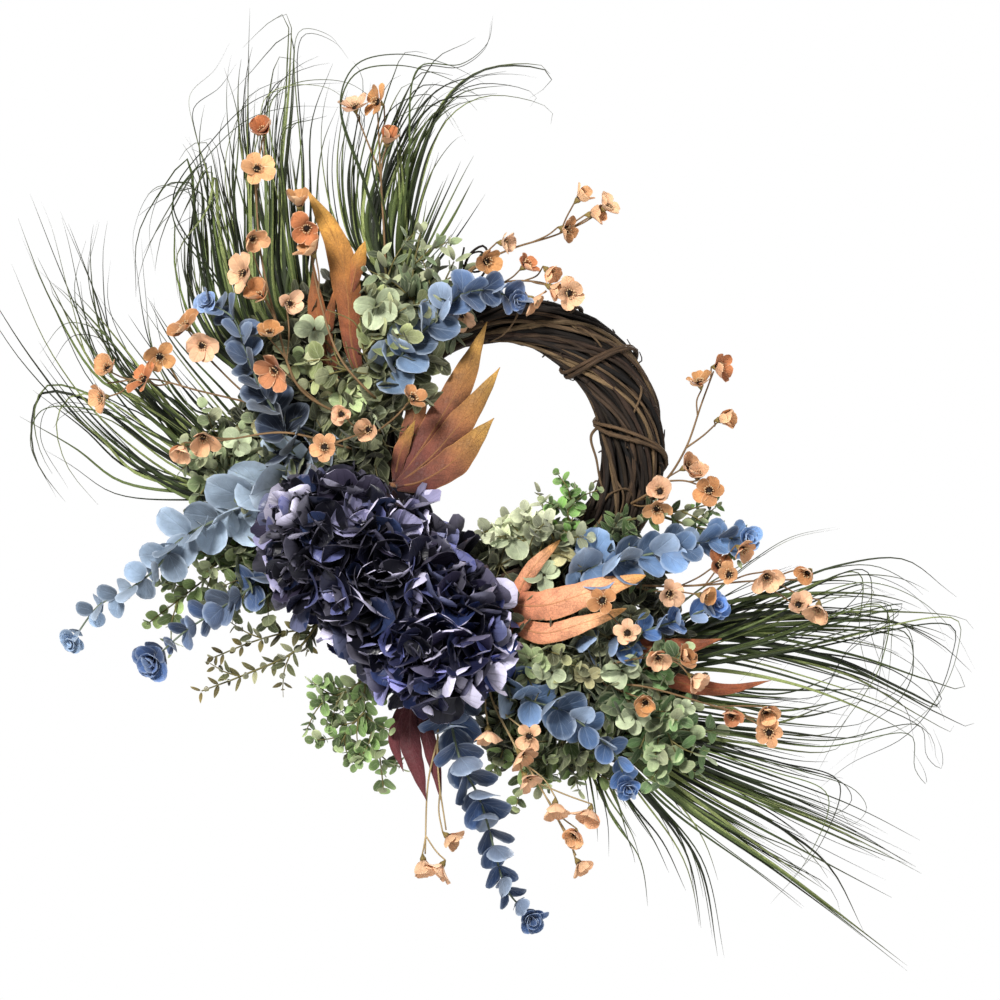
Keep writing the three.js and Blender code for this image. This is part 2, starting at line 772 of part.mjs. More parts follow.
// Leaf pairs up a stem, each a quarter turn from the last, turned a little so that their faces show.
function placeLeafPairs(name, stem, pairs, size, form) {
  for (let i = 0; i < pairs; i++) {
    const seat = stem.seats[i];
    const tangent = stem.curve.getTangentAt(seat);
    const scale = mix(size[0], size[1], (i + 0.5) / pairs) * mix(0.9, 1.1, shake(i, pairs));
    const index = stem.shares.findIndex((t) => Math.abs(t - (seat - stem.half)) < 1e-9) + stem.first;
    for (const j of i % 2 ? [0, 2] : [1, 3]) {
      if (stem.used.has(index * 10 + j)) continue;
      const corners = stem.made.face(index, j);
      const along = corners[1].clone().sub(corners[0]);
      const outward = along.clone().cross(corners[3].clone().sub(corners[0])).normalize();
      const make = ([swing, lift, facing, share]) => {
        const aside = swing + 0.5 * (shake(i, j) - 0.5);
        const out = outward.clone().addScaledVector(along.clone().normalize(), aside);
        out.addScaledVector(tangent, -out.dot(tangent)).normalize();
        const axis = out.clone().multiplyScalar(Math.cos(lift)).addScaledVector(tangent, Math.sin(lift));
        const normal = tangent.clone().multiplyScalar(Math.cos(lift)).addScaledVector(out, -Math.sin(lift));
        normal.multiplyScalar(1 - facing).addScaledVector(TO_VIEWER, facing);
        normal.addScaledVector(axis, -normal.dot(axis)).normalize();
        const length = scale * share;
        return { mesh: leafOn(corners, axis, normal, length, length * form.width, form.rim, form.cup) };
      };
      if (grow(name, make, LEAF_WAYS)) stem.used.add(index * 10 + j);
    }
  }
}

const ROUND_LEAF = { width: 0.98, rim: 6, cup: 2 };
const SMALL_ROUND_LEAF = { width: 0.92, rim: 5, cup: 1 };
const LONG_LEAF = { width: 0.5, rim: 3, cup: 0.5 };

// Small-leaved sprays: the first route starts in the ring and the others start on it

const GREEN_SPRAYS = [
  {
    name: "green_spray_centre",
    routes: [
      [[-116, -6, -42], [-124, -30, -35], [-136, -48, -10], [-140, -54, 25]],
      [[-124, -30, -35], [-150, -46, -28], [-178, -54, -10]],
      [[-136, -48, -10], [-120, -54, 10], [-112, -56, 36]],
    ],
    pairs: 4,
    size: [20, 16],
    from: 0.3,
    form: SMALL_ROUND_LEAF,
  },
  {
    name: "green_spray_upper",
    routes: [
      [[-78, -6, 2], [-82, -28, 20], [-88, -38, 60], [-80, -42, 110]],
      [[-82, -28, 20], [-108, -36, 50], [-118, -40, 88]],
      [[-82, -28, 20], [-62, -36, 50], [-46, -40, 82]],
    ],
    pairs: 4,
    size: [22, 15],
    from: 0.28,
    form: LONG_LEAF,
  },
  {
    name: "green_spray_inner",
    routes: [
      [[30, -6, -229], [32, -30, -215], [26, -40, -198], [12, -42, -182]],
      [[32, -30, -215], [48, -40, -205], [56, -44, -190]],
    ],
    pairs: 4,
    size: [19, 14],
    from: 0.45,
    form: SMALL_ROUND_LEAF,
  },
  {
    name: "green_sprig_inner",
    routes: [[[78, -6, -198], [74, -32, -192], [68, -42, -170], [74, -44, -146]]],
    pairs: 4,
    size: [14, 9],
    from: 0.35,
    form: SMALL_ROUND_LEAF,
  },
  {
    name: "green_spray_left",
    routes: [
      [[-131, -4, -109], [-180, -10, -114], [-235, -20, -112], [-270, -32, -105], [-312, -38, -98]],
      [[-235, -20, -112], [-268, -28, -130], [-300, -34, -138]],
    ],
    pairs: 4,
    size: [20, 12],
    from: 0.5,
    form: SMALL_ROUND_LEAF,
  },
  {
    name: "green_spray_lower_left",
    routes: [
      [
        [-97, -5, -190], [-140, -10, -240], [-190, -16, -285], [-215, -22, -290],
        [-250, -26, -300], [-287, -28, -315],
      ],
      [[-180, -15, -276], [-205, -20, -308], [-255, -26, -332], [-300, -28, -349]],
    ],
    pairs: 4,
    size: [15, 10],
    from: 0.45,
    form: LONG_LEAF,
  },
  {
    name: "green_spray_bottom_left",
    routes: [
      [
        [-81, -5, -205], [-110, -12, -270], [-134, -18, -335], [-136, -24, -370],
        [-122, -28, -410], [-117, -28, -449],
      ],
      [[-134, -18, -335], [-155, -24, -350], [-184, -28, -358]],
      [[-136, -24, -370], [-150, -28, -385], [-160, -30, -402]],
    ],
    pairs: 4,
    size: [15, 11],
    from: 0.5,
    form: SMALL_ROUND_LEAF,
  },
  {
    name: "green_spray_behind_left",
    routes: [
      [
        [-125, -3, -143], [-180, -6, -165], [-235, -12, -205], [-280, -18, -225],
        [-320, -22, -255], [-355, -24, -282],
      ],
      [[-235, -12, -205], [-262, -16, -205], [-288, -18, -198]],
    ],
    pairs: 4,
    size: [19, 10],
    from: 0.5,
    form: SMALL_ROUND_LEAF,
  },
  {
    name: "green_spray_right_front",
    routes: [
      [[21, -5, -231], [28, -20, -280], [40, -34, -315], [62, -38, -340]],
      [[28, -20, -280], [26, -34, -312], [20, -38, -332]],
    ],
    pairs: 4,
    size: [19, 14],
    from: 0.5,
    form: SMALL_ROUND_LEAF,
  },
  {
    name: "green_spray_right_back",
    routes: [
      [
        [53, -5, -221], [78, -10, -280], [110, -14, -325], [138, -22, -360], [154, -30, -400],
        [162, -32, -440],
      ],
      [[110, -14, -325], [138, -24, -330], [160, -32, -335]],
      [[138, -22, -360], [165, -30, -385], [176, -34, -410]],
    ],
    pairs: 4,
    size: [22, 15],
    from: 0.5,
    form: SMALL_ROUND_LEAF,
  },
  {
    name: "green_spray_ring_right",
    routes: [
      [[108, -6, -180], [122, -32, -178], [158, -40, -172], [190, -42, -166], [215, -40, -160]],
      [[158, -40, -172], [200, -42, -185], [240, -38, -192]],
    ],
    pairs: 4,
    size: [17, 10],
    from: 0.25,
    form: LONG_LEAF,
  },
  {
    name: "green_spray_bottom",
    routes: [
      [[-19, -4, -233], [-22, -6, -300], [-8, -10, -370], [30, -14, -402], [70, -18, -418], [112, -20, -440]],
      [[-8, -10, -370], [10, -16, -410], [40, -20, -445]],
    ],
    pairs: 4,
    size: [17, 12],
    from: 0.62,
    form: SMALL_ROUND_LEAF,
  },
];

// Blossom sprays: routes as above, and the place of each blossom as [x, z]

const BLOSSOM_SPRAYS = [
  {
    name: "blossom_spray_upper_left",
    routes: [
      [
        [-128, -4, -75], [-150, -34, -74], [-200, -70, -45], [-222, -78, 20], [-238, -78, 90],
        [-242, -72, 165], [-236, -66, 205],
      ],
    ],
    blooms: [
      [-235, 208], [-242, 171], [-247, 103], [-253, 68], [-235, 44], [-210, 38], [-228, 6],
      [-222, -27],
    ],
  },
  {
    name: "blossom_spray_upper",
    routes: [
      [
        [-121, -4, -53], [-128, -56, -52], [-160, -70, -14], [-184, -64, 62], [-192, -62, 112],
        [-199, -56, 134],
      ],
    ],
    blooms: [[-200, 136], [-192, 114], [-186, 88]],
  },
  {
    name: "blossom_spray_top",
    routes: [
      [[-106, -4, -26], [-112, -22, 20], [-116, -26, 100], [-120, -28, 170], [-123, -28, 234]],
      [[-120, -28, 170], [-134, -28, 205], [-145, -28, 232]],
    ],
    blooms: [[-145, 235], [-121, 241], [-113, 201]],
  },
  {
    name: "blossom_spray_left",
    routes: [
      [[-131, -4, -97], [-180, -20, -88], [-240, -30, -62], [-285, -42, -22], [-312, -44, 12]],
      [[-240, -30, -62], [-300, -42, -48], [-350, -46, -36], [-393, -44, -40]],
    ],
    blooms: [[-312, 15], [-297, -2], [-340, -13], [-354, -37], [-390, -27], [-395, -54]],
  },
  {
    name: "blossom_spray_left_low",
    routes: [[[-127, -14, -112], [-155, -50, -104], [-215, -74, -90], [-265, -72, -96], [-312, -62, -104]]],
    blooms: [[-316, -104], [-295, -93]],
  },
  {
    name: "blossom_spray_centre",
    routes: [
      [[-119, -10, -92], [-122, -50, -88], [-140, -86, -92], [-172, -96, -104]],
      [[-122, -50, -88], [-104, -66, -74], [-89, -74, -58]],
    ],
    blooms: [[-173, -105], [-129, -87], [-88, -57], [-156, -72]],
  },
  {
    name: "blossom_spray_right_top",
    routes: [
      [[-60, -5, 12], [-60, -26, 36], [-30, -38, 74], [10, -42, 94], [60, -44, 110], [96, -44, 130]],
      [[-50, -31, 48], [-36, -40, 62], [-28, -44, 72]],
    ],
    blooms: [[78, 143], [90, 128], [104, 134], [63, 114], [2, 100], [-15, 82]],
  },
  {
    name: "blossom_spray_ring_top",
    routes: [[[-38, -5, 20], [-34, -27, 36], [0, -34, 60], [35, -38, 62], [67, -44, 53]]],
    blooms: [[24, 76], [47, 73], [50, 56], [68, 50], [32, 44], [-38, 30]],
  },
  {
    name: "blossom_spray_right",
    routes: [
      [
        [124, -6, -164], [140, -34, -156], [165, -44, -138], [186, -46, -105], [202, -44, -60],
        [214, -42, -28],
      ],
      [[186, -46, -105], [204, -46, -92], [218, -44, -79]],
      [[165, -44, -138], [186, -48, -138], [206, -48, -145]],
    ],
    blooms: [
      [200, -42], [216, -24], [219, -77], [184, -125], [197, -134], [209, -148], [160, -149],
      [156, -164],
    ],
  },
  {
    name: "blossom_spray_right_middle",
    routes: [
      [
        [86, -5, -205], [104, -22, -236], [150, -36, -243], [205, -52, -242], [250, -58, -238],
        [312, -56, -236],
      ],
    ],
    blooms: [
      [168, -250], [200, -252], [216, -223], [229, -232], [239, -205], [265, -232], [308, -228], [297, -262],
      [317, -262],
    ],
  },
  {
    name: "blossom_spray_right_front",
    routes: [[[50, -7, -224], [74, -30, -246], [94, -64, -261], [104, -84, -258]]],
    blooms: [[102, -257], [126, -289]],
  },
  {
    name: "blossom_spray_lower_right",
    routes: [
      [[9, -4, -236], [30, -8, -290], [78, -20, -334], [150, -44, -345], [230, -56, -368], [268, -54, -379]],
      [[78, -20, -334], [116, -46, -320], [156, -56, -314], [184, -56, -320]],
    ],
    blooms: [[157, -312], [182, -315], [191, -333], [145, -358], [230, -369], [264, -366], [268, -388]],
  },
  {
    name: "blossom_spray_bottom",
    routes: [
      [
        [-12, -12, -237], [-14, -26, -290], [-10, -34, -350], [14, -54, -400], [44, -60, -450],
        [76, -54, -512],
      ],
    ],
    blooms: [[-12, -387], [30, -392], [20, -409], [25, -432], [55, -459], [90, -465], [75, -488], [78, -518]],
  },
  {
    name: "blossom_spray_hanging",
    routes: [
      [[-46, -6, -224], [-56, -12, -300], [-62, -20, -377], [-62, -34, -430], [-54, -38, -488]],
      [[-62, -24, -395], [-72, -34, -440], [-75, -38, -512]],
    ],
    blooms: [[-53, -493], [-77, -517], [-58, -522]],
  },
];

// Where the twig of each blossom leaves its stem: a little before the stem's nearest point.
function blossomSeats(spray, curves) {
  return spray.blooms.map(([x, z]) => {
    const found = curves.map((curve, i) => ({ ...nearestShare(curve, x, z), i, length: curve.getLength() }));
    const nearest = found.reduce((best, next) => (next.gap < best.gap ? next : best));
    const back = (14 + nearest.gap * 0.5) / nearest.length;
    return { ...nearest, t: Math.max(0.15, nearest.t - back) };
  });
}

// Ways to place a blossom: how much nearer to the viewer, how far it faces the viewer and its size.
const BLOSSOM_WAYS = [
  [0, 0.6, 1],
  [5, 0.6, 1],
  [10, 0.65, 1],
  [-6, 0.6, 1],
  [16, 0.7, 1],
  [24, 0.7, 1],
  [-14, 0.5, 1],
  [34, 0.75, 1],
  [4, 0.7, 0.8],
  [14, 0.7, 0.8],
  [46, 0.8, 0.9],
  [-10, 0.6, 0.7],
];

function placeBlossom(name, stem, seat, [x, z], y, i) {
  const from = stem.curve.getPointAt(seat);
  const way = new THREE.Vector3(x, y - (BLOSSOM_FRONT[0] + BLOSSOM_FRONT[1]) / 2, z).sub(from).normalize();
  const face = faceAt(stem, seat, way);
  const [a, b, , d] = face.corners;
  const make = ([push, facing, share]) => {
    const front = mix(BLOSSOM_FRONT[0], BLOSSOM_FRONT[1], shake(i, 2)) + push;
    const head = new THREE.Vector3(x, y - front, z);
    const start = middleOf([a, b, d]);
    const toward = head.clone().sub(start).normalize();
    const normal = toward.clone().multiplyScalar(1 - facing).addScaledVector(TO_VIEWER, facing);
    normal.x += 0.6 * (shake(i, 7) - 0.5);
    normal.z += 0.6 * (shake(i, 8) - 0.5);
    normal.normalize();
    const neck = head.clone().addScaledVector(normal, -BLOSSOM_RADIUS * 0.4 * share);
    const stalk = rod(new THREE.LineCurve3(start, neck), [1], () => BLOSSOM_TWIG_RADIUS, 3, [a, b, d], false);
    const size = BLOSSOM_RADIUS * mix(0.88, 1.08, shake(i, 4)) * share;
    return { mesh: flowerOn(stalk, head, normal, shake(i, 1), size, BLOSSOM_PETALS, BLOSSOM_RISE) };
  };
  if (grow(name, make, BLOSSOM_WAYS)) stem.used.add(face.key);
}

// Grass: a short stem from the ring, and blades as [x, z] points from the stem's end to their tips

const GRASS_TUFTS = [
  {
    name: "grass_tuft_top_left",
    stem: [[-128, 12, -118], [-170, 14, -106], [-205, 12, -70], [-225, 10, -40]],
    blades: [
      [[-272, 23], [-295, 123], [-300, 183], [-320, 153], [-343, 103], [-352, 43]],
      [[-280, 23], [-288, 123], [-295, 193], [-310, 246]],
      [[-285, 23], [-302, 103], [-305, 150], [-350, 131], [-390, 93]],
      [[-260, 23], [-278, 113], [-288, 183], [-275, 233], [-255, 258]],
      [[-246, 23], [-265, 123], [-278, 193], [-285, 238], [-275, 263]],
      [[-300, 23], [-310, 93], [-300, 163], [-285, 203]],
      [[-253, 18], [-268, 93], [-285, 153], [-300, 203], [-320, 193], [-335, 153]],
      [[-292, 13], [-318, 78], [-322, 138], [-350, 90], [-362, 58]],
    ],
  },
  {
    name: "grass_tuft_top",
    stem: [[-124, 14, -90], [-150, 17, -72], [-180, 16, -30], [-198, 14, 0]],
    blades: [
      [[-245, 43], [-252, 143], [-253, 243], [-250, 313]],
      [[-235, 43], [-242, 143], [-242, 243], [-223, 341]],
      [[-225, 43], [-230, 143], [-225, 253], [-208, 311], [-188, 295], [-173, 281]],
      [[-215, 43], [-220, 143], [-210, 263], [-212, 315], [-260, 268], [-287, 238]],
      [[-210, 43], [-238, 163], [-243, 245], [-200, 268], [-155, 273]],
      [[-202, 43], [-215, 143], [-216, 225], [-185, 238], [-150, 243]],
      [[-250, 43], [-264, 133], [-260, 223], [-238, 283], [-200, 303]],
      [[-205, 53], [-200, 123], [-205, 203], [-190, 253]],
      [[-220, 43], [-248, 113], [-268, 203], [-265, 273], [-245, 318]],
    ],
  },
  {
    name: "grass_tuft_top_right",
    stem: [[-94, 12, -16], [-98, 16, 10], [-102, 15, 40], [-106, 14, 62]],
    blades: [
      [[-150, 103], [-165, 163], [-162, 223], [-148, 273], [-115, 291], [-70, 251]],
      [[-135, 113], [-128, 183], [-100, 263], [-87, 280], [-50, 277], [-15, 265]],
      [[-125, 118], [-85, 223], [-55, 255], [-15, 263], [41, 264], [30, 251]],
      [[-95, 138], [-60, 238], [-20, 265], [38, 259], [42, 248], [8, 222]],
      [[-82, 118], [-60, 183], [-42, 233]],
      [[-115, 113], [-100, 203], [-70, 263], [-50, 281], [-9, 303], [-10, 328]],
      [[-68, 110], [-39, 173]],
      [[-90, 118], [-70, 193], [-38, 233], [-15, 198]],
      [[-140, 108], [-148, 183], [-138, 253], [-155, 273]],
      [[-105, 118], [-110, 193], [-115, 253], [-130, 283]],
    ],
  },
  {
    name: "grass_tuft_left",
    stem: [[-127, 11, -148], [-180, 12, -150], [-225, 10, -146], [-250, 8, -138]],
    blades: [
      [[-295, -155], [-390, -97], [-455, -19], [-500, 66]],
      [[-280, -142], [-350, -57], [-425, 36], [-470, 75], [-500, 88]],
      [[-275, -127], [-340, -57], [-393, -27], [-432, 63], [-472, 158]],
      [[-275, -117], [-350, -57], [-420, 43], [-430, 65], [-420, 108]],
      [[-270, -107], [-335, -77], [-393, -17], [-409, 73], [-402, 125]],
      [[-262, -97], [-340, -2], [-385, 68]],
      [[-265, -87], [-310, -77], [-353, -17], [-370, 53], [-375, 103]],
      [[-278, -142], [-335, -112], [-400, -64], [-440, -59], [-456, -82], [-445, -127], [-410, -179]],
      [[-295, -147], [-370, -132], [-410, -97], [-460, -62]],
    ],
  },
  {
    name: "grass_tuft_right",
    stem: [[63, 10, -217], [75, 13, -270], [92, 12, -320], [110, 9, -340]],
    blades: [
      [[150, -310], [270, -254], [330, -232], [390, -230], [435, -257], [441, -270]],
      [[140, -307], [220, -270], [370, -269], [420, -290], [455, -322]],
      [[145, -317], [240, -277], [393, -267], [445, -272], [460, -287]],
      [[140, -322], [200, -289], [390, -285], [435, -307]],
      [[150, -327], [200, -302], [350, -322], [430, -357], [465, -372], [455, -337], [420, -302]],
      [[150, -329], [190, -312], [310, -337], [415, -382], [425, -412], [442, -427]],
      [[155, -337], [240, -355], [290, -359], [375, -327]],
      [[150, -347], [220, -357], [300, -364], [390, -377]],
      [[140, -307], [190, -257], [245, -222], [333, -185]],
      [[160, -297], [260, -247], [350, -227], [400, -237]],
      [[160, -302], [300, -297], [400, -317], [445, -357], [425, -397]],
    ],
  },
  {
    name: "grass_tuft_lower_right",
    stem: [[24, 11, -233], [40, 13, -300], [72, 11, -355], [98, 9, -378]],
    blades: [
      [[160, -387], [250, -412], [320, -430], [383, -437]],
      [[170, -397], [310, -457], [453, -514]],
      [[180, -417], [355, -487], [440, -535]],
      [[175, -422], [340, -492], [440, -544]],
      [[170, -432], [330, -519], [415, -564]],
      [[165, -437], [320, -552], [345, -567]],
      [[165, -447], [280, -527], [360, -587], [387, -607]],
      [[160, -417], [280, -477], [330, -519], [362, -577]],
      [[150, -427], [260, -497], [325, -532], [335, -587]],
      [[107, -460], [110, -507]],
      [[120, -462], [150, -507], [168, -557]],
      [[135, -437], [190, -507], [210, -607]],
      [[165, -382], [260, -397], [350, -402], [380, -367]],
    ],
  },
];

// A tuft's stem ends in a fan of faces, one for each blade.
function addTuftStem(tuft) {
  const curve = curveThrough(tuft.stem);
  const root = shareAtDepth(curve, ROOT_DEPTH);
  const mouth = shareAtDepth(curve, -4) + 0.005;
  const shares = [root, mouth, mix(mouth, 1, 0.5), 1];
  const sides = tuft.blades.length;
  const radiusAt = (t) => TUFT_STEM_RADIUS * mix(1, 1.5, t);
  const made = rod(curve, shares, radiusAt, sides, null, false);
  const centre = made.points.push(curve.getPointAt(1).addScaledVector(curve.getTangentAt(1), 2)) - 1;
  const faces = made.lastRing.map((k, j) => [k, made.lastRing[(j + 1) % sides], centre]);
  made.triangles = made.triangles.slice(sides > 4 ? 2 : 0);
  // The root end is closed by a fan round its first corner.
  for (let j = 1; j < sides - 1; j++) made.triangles.push([0, j + 1, j]);
  made.triangles.push(...faces);
  addItem(tuft.name, made);
  holes.push({ from: curve.getPointAt(root), to: curve.getPointAt(mouth), radius: radiusAt(mouth) });
  return { curve, faces: faces.map((face) => face.map((k) => made.points[k])) };
}

// A blade's tip leans this far toward the wall, by turns in front of the tuft and behind it, and by
// one of the shifts more where that way isn't clear.
const FRONT_LEAN = [-12, -56];
const BACK_LEAN = [12, -10];
const LEAN_SHIFTS = [0, -4, 4, -9, 9, -15, 15, -22, 22, -30, -38];

function placeGrass(tuft, stem) {
  const end = stem.curve.getPointAt(1);
  const tangent = stem.curve.getTangentAt(1);
  const side = new THREE.Vector3().crossVectors(tangent, TO_VIEWER).normalize();
  const sideOf = (p) => p.clone().sub(end).dot(side);
  // The blades from one side of the tuft to the other, each on the free face that is nearest its side,
  // by turns at the front and at the back.
  const order = tuft.blades
    .map((blade, i) => ({ blade, i, lean: sideOf(new THREE.Vector3(blade[0][0], end.y, blade[0][1])) }))
    .sort((p, q) => p.lean - q.lean);
  const count = order.length;
  const free = stem.faces.map((face) => ({ face, at: middleOf(face).sub(end) }));
  order.forEach(({ blade, i }, rank) => {
    const wanted = side.clone().multiplyScalar(mix(-1, 1, (rank + 0.5) / count));
    wanted.addScaledVector(TO_VIEWER, rank % 2 ? 0.6 : -0.6);
    free.sort((p, q) => q.at.clone().normalize().dot(wanted) - p.at.clone().normalize().dot(wanted));
    const { face } = free.shift();
    const start = middleOf(face);
    const inFront = rank % 2;
    const make = (spreadOut) => {
      // A blade leans forward or back more and more toward its tip.
      const lean = (k) => spreadOut * Math.pow((k + 1) / blade.length, 1.2);
      const route = blade.map(([x, z], k) => [x, start.y + lean(k), z]);
      const curve = curveThrough([start.toArray(), ...route]);
      const steps = Math.min(4, Math.max(3, blade.length - 1));
      const shares = Array.from({ length: steps + 1 }, (_, k) => (k + 0.3) / (steps + 0.3));
      const radiusAt = (t) => mix(BLADE_RADIUS[0], BLADE_RADIUS[1], t);
      return { mesh: rod(curve, shares, radiusAt, 3, face), free: rod(curve, shares, radiusAt, 3) };
    };
    const lean = mix(...(inFront ? FRONT_LEAN : BACK_LEAN), shake(i, 12));
    const ways = LEAN_SHIFTS.map((more) => lean + more);
    grow(tuft.name, make, ways.filter((way) => start.y + way < WALL_Y));
  });
}

// The whole wreath

const COLOURS = {
  vine: 0x5b4331,
  hydrangea: 0x23233f,
  autumn: 0xb9672f,
  autumn_dark: 0x6b2f33,
  blue: 0x54719b,
  green: 0x7d9069,
  blossom: 0xe09a5e,
  grass: 0x3d4f24,
};

// Every stem first, because stems may not cross, then what grows from them, the largest first.
const heads = HYDRANGEAS.map((head) => {
  const faces = addHydrangeaCore(head);
  addStub(head, faces);
  return { head, faces };
});
for (const leaf of AUTUMN_LEAVES) addStem(leaf.name, curveThrough(leaf.stalk), 1.8, 2, [], 4);
const blueStems = BLUE_SPRAYS.map((spray) =>
  addStem(spray.name, curveThrough(spray.stem), BLUE_STEM_RADIUS, 3, pairPlaces(spray.pairs, spray.from), 4),
);

// A main stem with side stems that grow out of it, and the places for whatever else grows there.
function addBranchedStem(spray, radius, steps, placesOf, sides) {
  const curves = spray.routes.map(curveThrough);
  const forks = curves.slice(1).map((curve) => {
    const start = curve.getPointAt(0);
    return nearestShare(curves[0], start.x, start.z, 0.05).t;
  });
  const main = addStem(spray.name, curves[0], radius, steps, [...placesOf(0, curves), ...forks], sides);
  const stems = [main];
  const seats = main.seats.slice(main.seats.length - forks.length);
  curves.slice(1).forEach((curve, i) => {
    const face = faceAt(main, seats[i], curve.getTangentAt(0.3));
    main.used.add(face.key);
    const base = sides === 3 ? [face.corners[0], face.corners[1], face.corners[3]] : face.corners;
    const route = [middleOf(base).toArray(), ...spray.routes[i + 1].slice(1)];
    const places = placesOf(i + 1, curves);
    stems.push(addStem(spray.name, curveThrough(route), radius * FORK_SHARE, 1, places, sides, base));
  });
  return stems;
}

const greenPairs = (spray, i) => (i === 0 ? spray.pairs : Math.ceil(spray.pairs / 2));
const greenStems = GREEN_SPRAYS.map((spray) => {
  const placesOf = (i) => pairPlaces(greenPairs(spray, i), i === 0 ? spray.from : 0.25);
  return addBranchedStem(spray, GREEN_STEM_RADIUS, 2, placesOf, 4);
});
const blossomStems = BLOSSOM_SPRAYS.map((spray) => {
  const seats = blossomSeats(spray, spray.routes.map(curveThrough));
  const placesOf = (i) => seats.filter((seat) => seat.i === i).map((seat) => seat.t);
  return addBranchedStem(spray, BLOSSOM_STEM_RADIUS, 2, placesOf, 3);
});
const tuftStems = GRASS_TUFTS.map(addTuftStem);

// Each stem stands in a plain hole in the ring.
const HOLE_SIDES = 4;

function withHoles(body) {
  for (const { from, to, radius } of holes) {
    const way = to.clone().sub(from).normalize();
    const bore = new THREE.LineCurve3(from.clone().addScaledVector(way, -2 * SEAT_GAP), to);
    const wide = (radius + 1.3 * SEAT_GAP) / Math.cos(Math.PI / HOLE_SIDES);
    const cutter = rod(bore, [0, 1], () => wide, HOLE_SIDES, null, false);
    cutter.triangles = cutter.triangles.slice(2);
    for (let j = 1; j < HOLE_SIDES - 1; j++) {
      cutter.triangles.push([0, j + 1, j], [HOLE_SIDES, HOLE_SIDES + j, HOLE_SIDES + j + 1]);
    }
    body = body.subtract(manifoldOf(cutter));
  }
  return body;
}

const ring = withHoles(ringBody());
addItem("vine_ring", null, ring);

for (const vine of BINDING_VINES) addItem(vine.name, bindingVine(vine));

for (const leaf of AUTUMN_LEAVES) placeAutumnLeaf(leaf);
for (const { head, faces } of heads) placeFlorets(head, faces);
BLOSSOM_SPRAYS.forEach((spray, s) => {
  const stems = blossomStems[s];
  const seats = blossomSeats(spray, spray.routes.map(curveThrough));
  const counts = stems.map(() => 0);
  seats.forEach((seat, i) => {
    const stem = stems[seat.i];
    placeBlossom(spray.name, stem, stem.seats[counts[seat.i]++], spray.blooms[i], seat.y, i);
  });
});
BLUE_SPRAYS.forEach((spray, i) => {
  placeLeafPairs(spray.name, blueStems[i], spray.pairs, spray.size, ROUND_LEAF);
});
GRASS_TUFTS.forEach((tuft, i) => placeGrass(tuft, tuftStems[i]));
GREEN_SPRAYS.forEach((spray, s) => {
  greenStems[s].forEach((stem, i) => {
    placeLeafPairs(spray.name, stem, greenPairs(spray, i), spray.size, spray.form);
  });
});

// A piece whose items grow out of each other: the faces where they meet are the same on both, and go.
function joined(items) {
  const numbers = new Map();
  const points = [];
  const number = (p) => {
    const key = [p.x, p.y, p.z].map((v) => v.toFixed(4)).join();
    if (!numbers.has(key)) numbers.set(key, points.push(p.x, p.y, p.z) / 3 - 1);
    return numbers.get(key);
  };
  const triangles = new Map();
  for (const { mesh } of items) {
    const names = mesh.points.map(number);
    for (const triangle of mesh.triangles) {
      const corners = triangle.map((k) => names[k]);
      const key = [...corners].sort((p, q) => p - q).join();
      if (!triangles.delete(key)) triangles.set(key, corners);
    }
  }
  const geometry = new THREE.BufferGeometry();
  geometry.setAttribute("position", new THREE.BufferAttribute(new Float32Array(points), 3));
  geometry.setIndex(new THREE.BufferAttribute(new Uint32Array([...triangles.values()].flat()), 1));
  return geometry;
}

// A piece whose items cross: the largest body of the fused solids, with any sealed hollow filled.
function fused(items) {
  const bodies = wasm.Manifold.union(items.map((item) => item.solid)).simplify(FUSE_TOLERANCE).decompose();
  const made = bodies.reduce((best, body) => (body.volume() > best.volume() ? body : best)).getMesh();
  const geometry = new THREE.BufferGeometry();
  geometry.setAttribute("position", new THREE.BufferAttribute(made.vertProperties, 3));
  geometry.setIndex(new THREE.BufferAttribute(made.triVerts, 1));
  return geometry;
}

function colourOf(name) {
  if (name.includes("vine")) return COLOURS.vine;
  if (name === "autumn_leaf_bottom") return COLOURS.autumn_dark;
  return COLOURS[name.split("_")[0]];
}

const wreath = new THREE.Group();
for (const [name, { items }] of pieces) {
  const crossing = name.startsWith("autumn") || name === "vine_ring";
  const geometry = crossing ? fused(items) : joined(items);
  geometry.computeVertexNormals();
  const material = new THREE.MeshStandardMaterial({ color: colourOf(name), roughness: 0.8, metalness: 0 });
  const mesh = new THREE.Mesh(geometry, material);
  mesh.name = name;
  wreath.add(mesh);
}

export default wreath;
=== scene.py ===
# %% [markdown]
# # Autumn wreath
#
# A twisted vine ring that hangs on a wall, with two dark hydrangea heads, lobed autumn leaves, eucalyptus,
# small-leaved sprays, orange blossoms and long grass on its left and lower side.
# All lengths here are in millimetres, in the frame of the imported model: x to the right, z up, and the
# viewer on the side of negative y. They become metres where a mesh is made.

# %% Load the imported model
import math

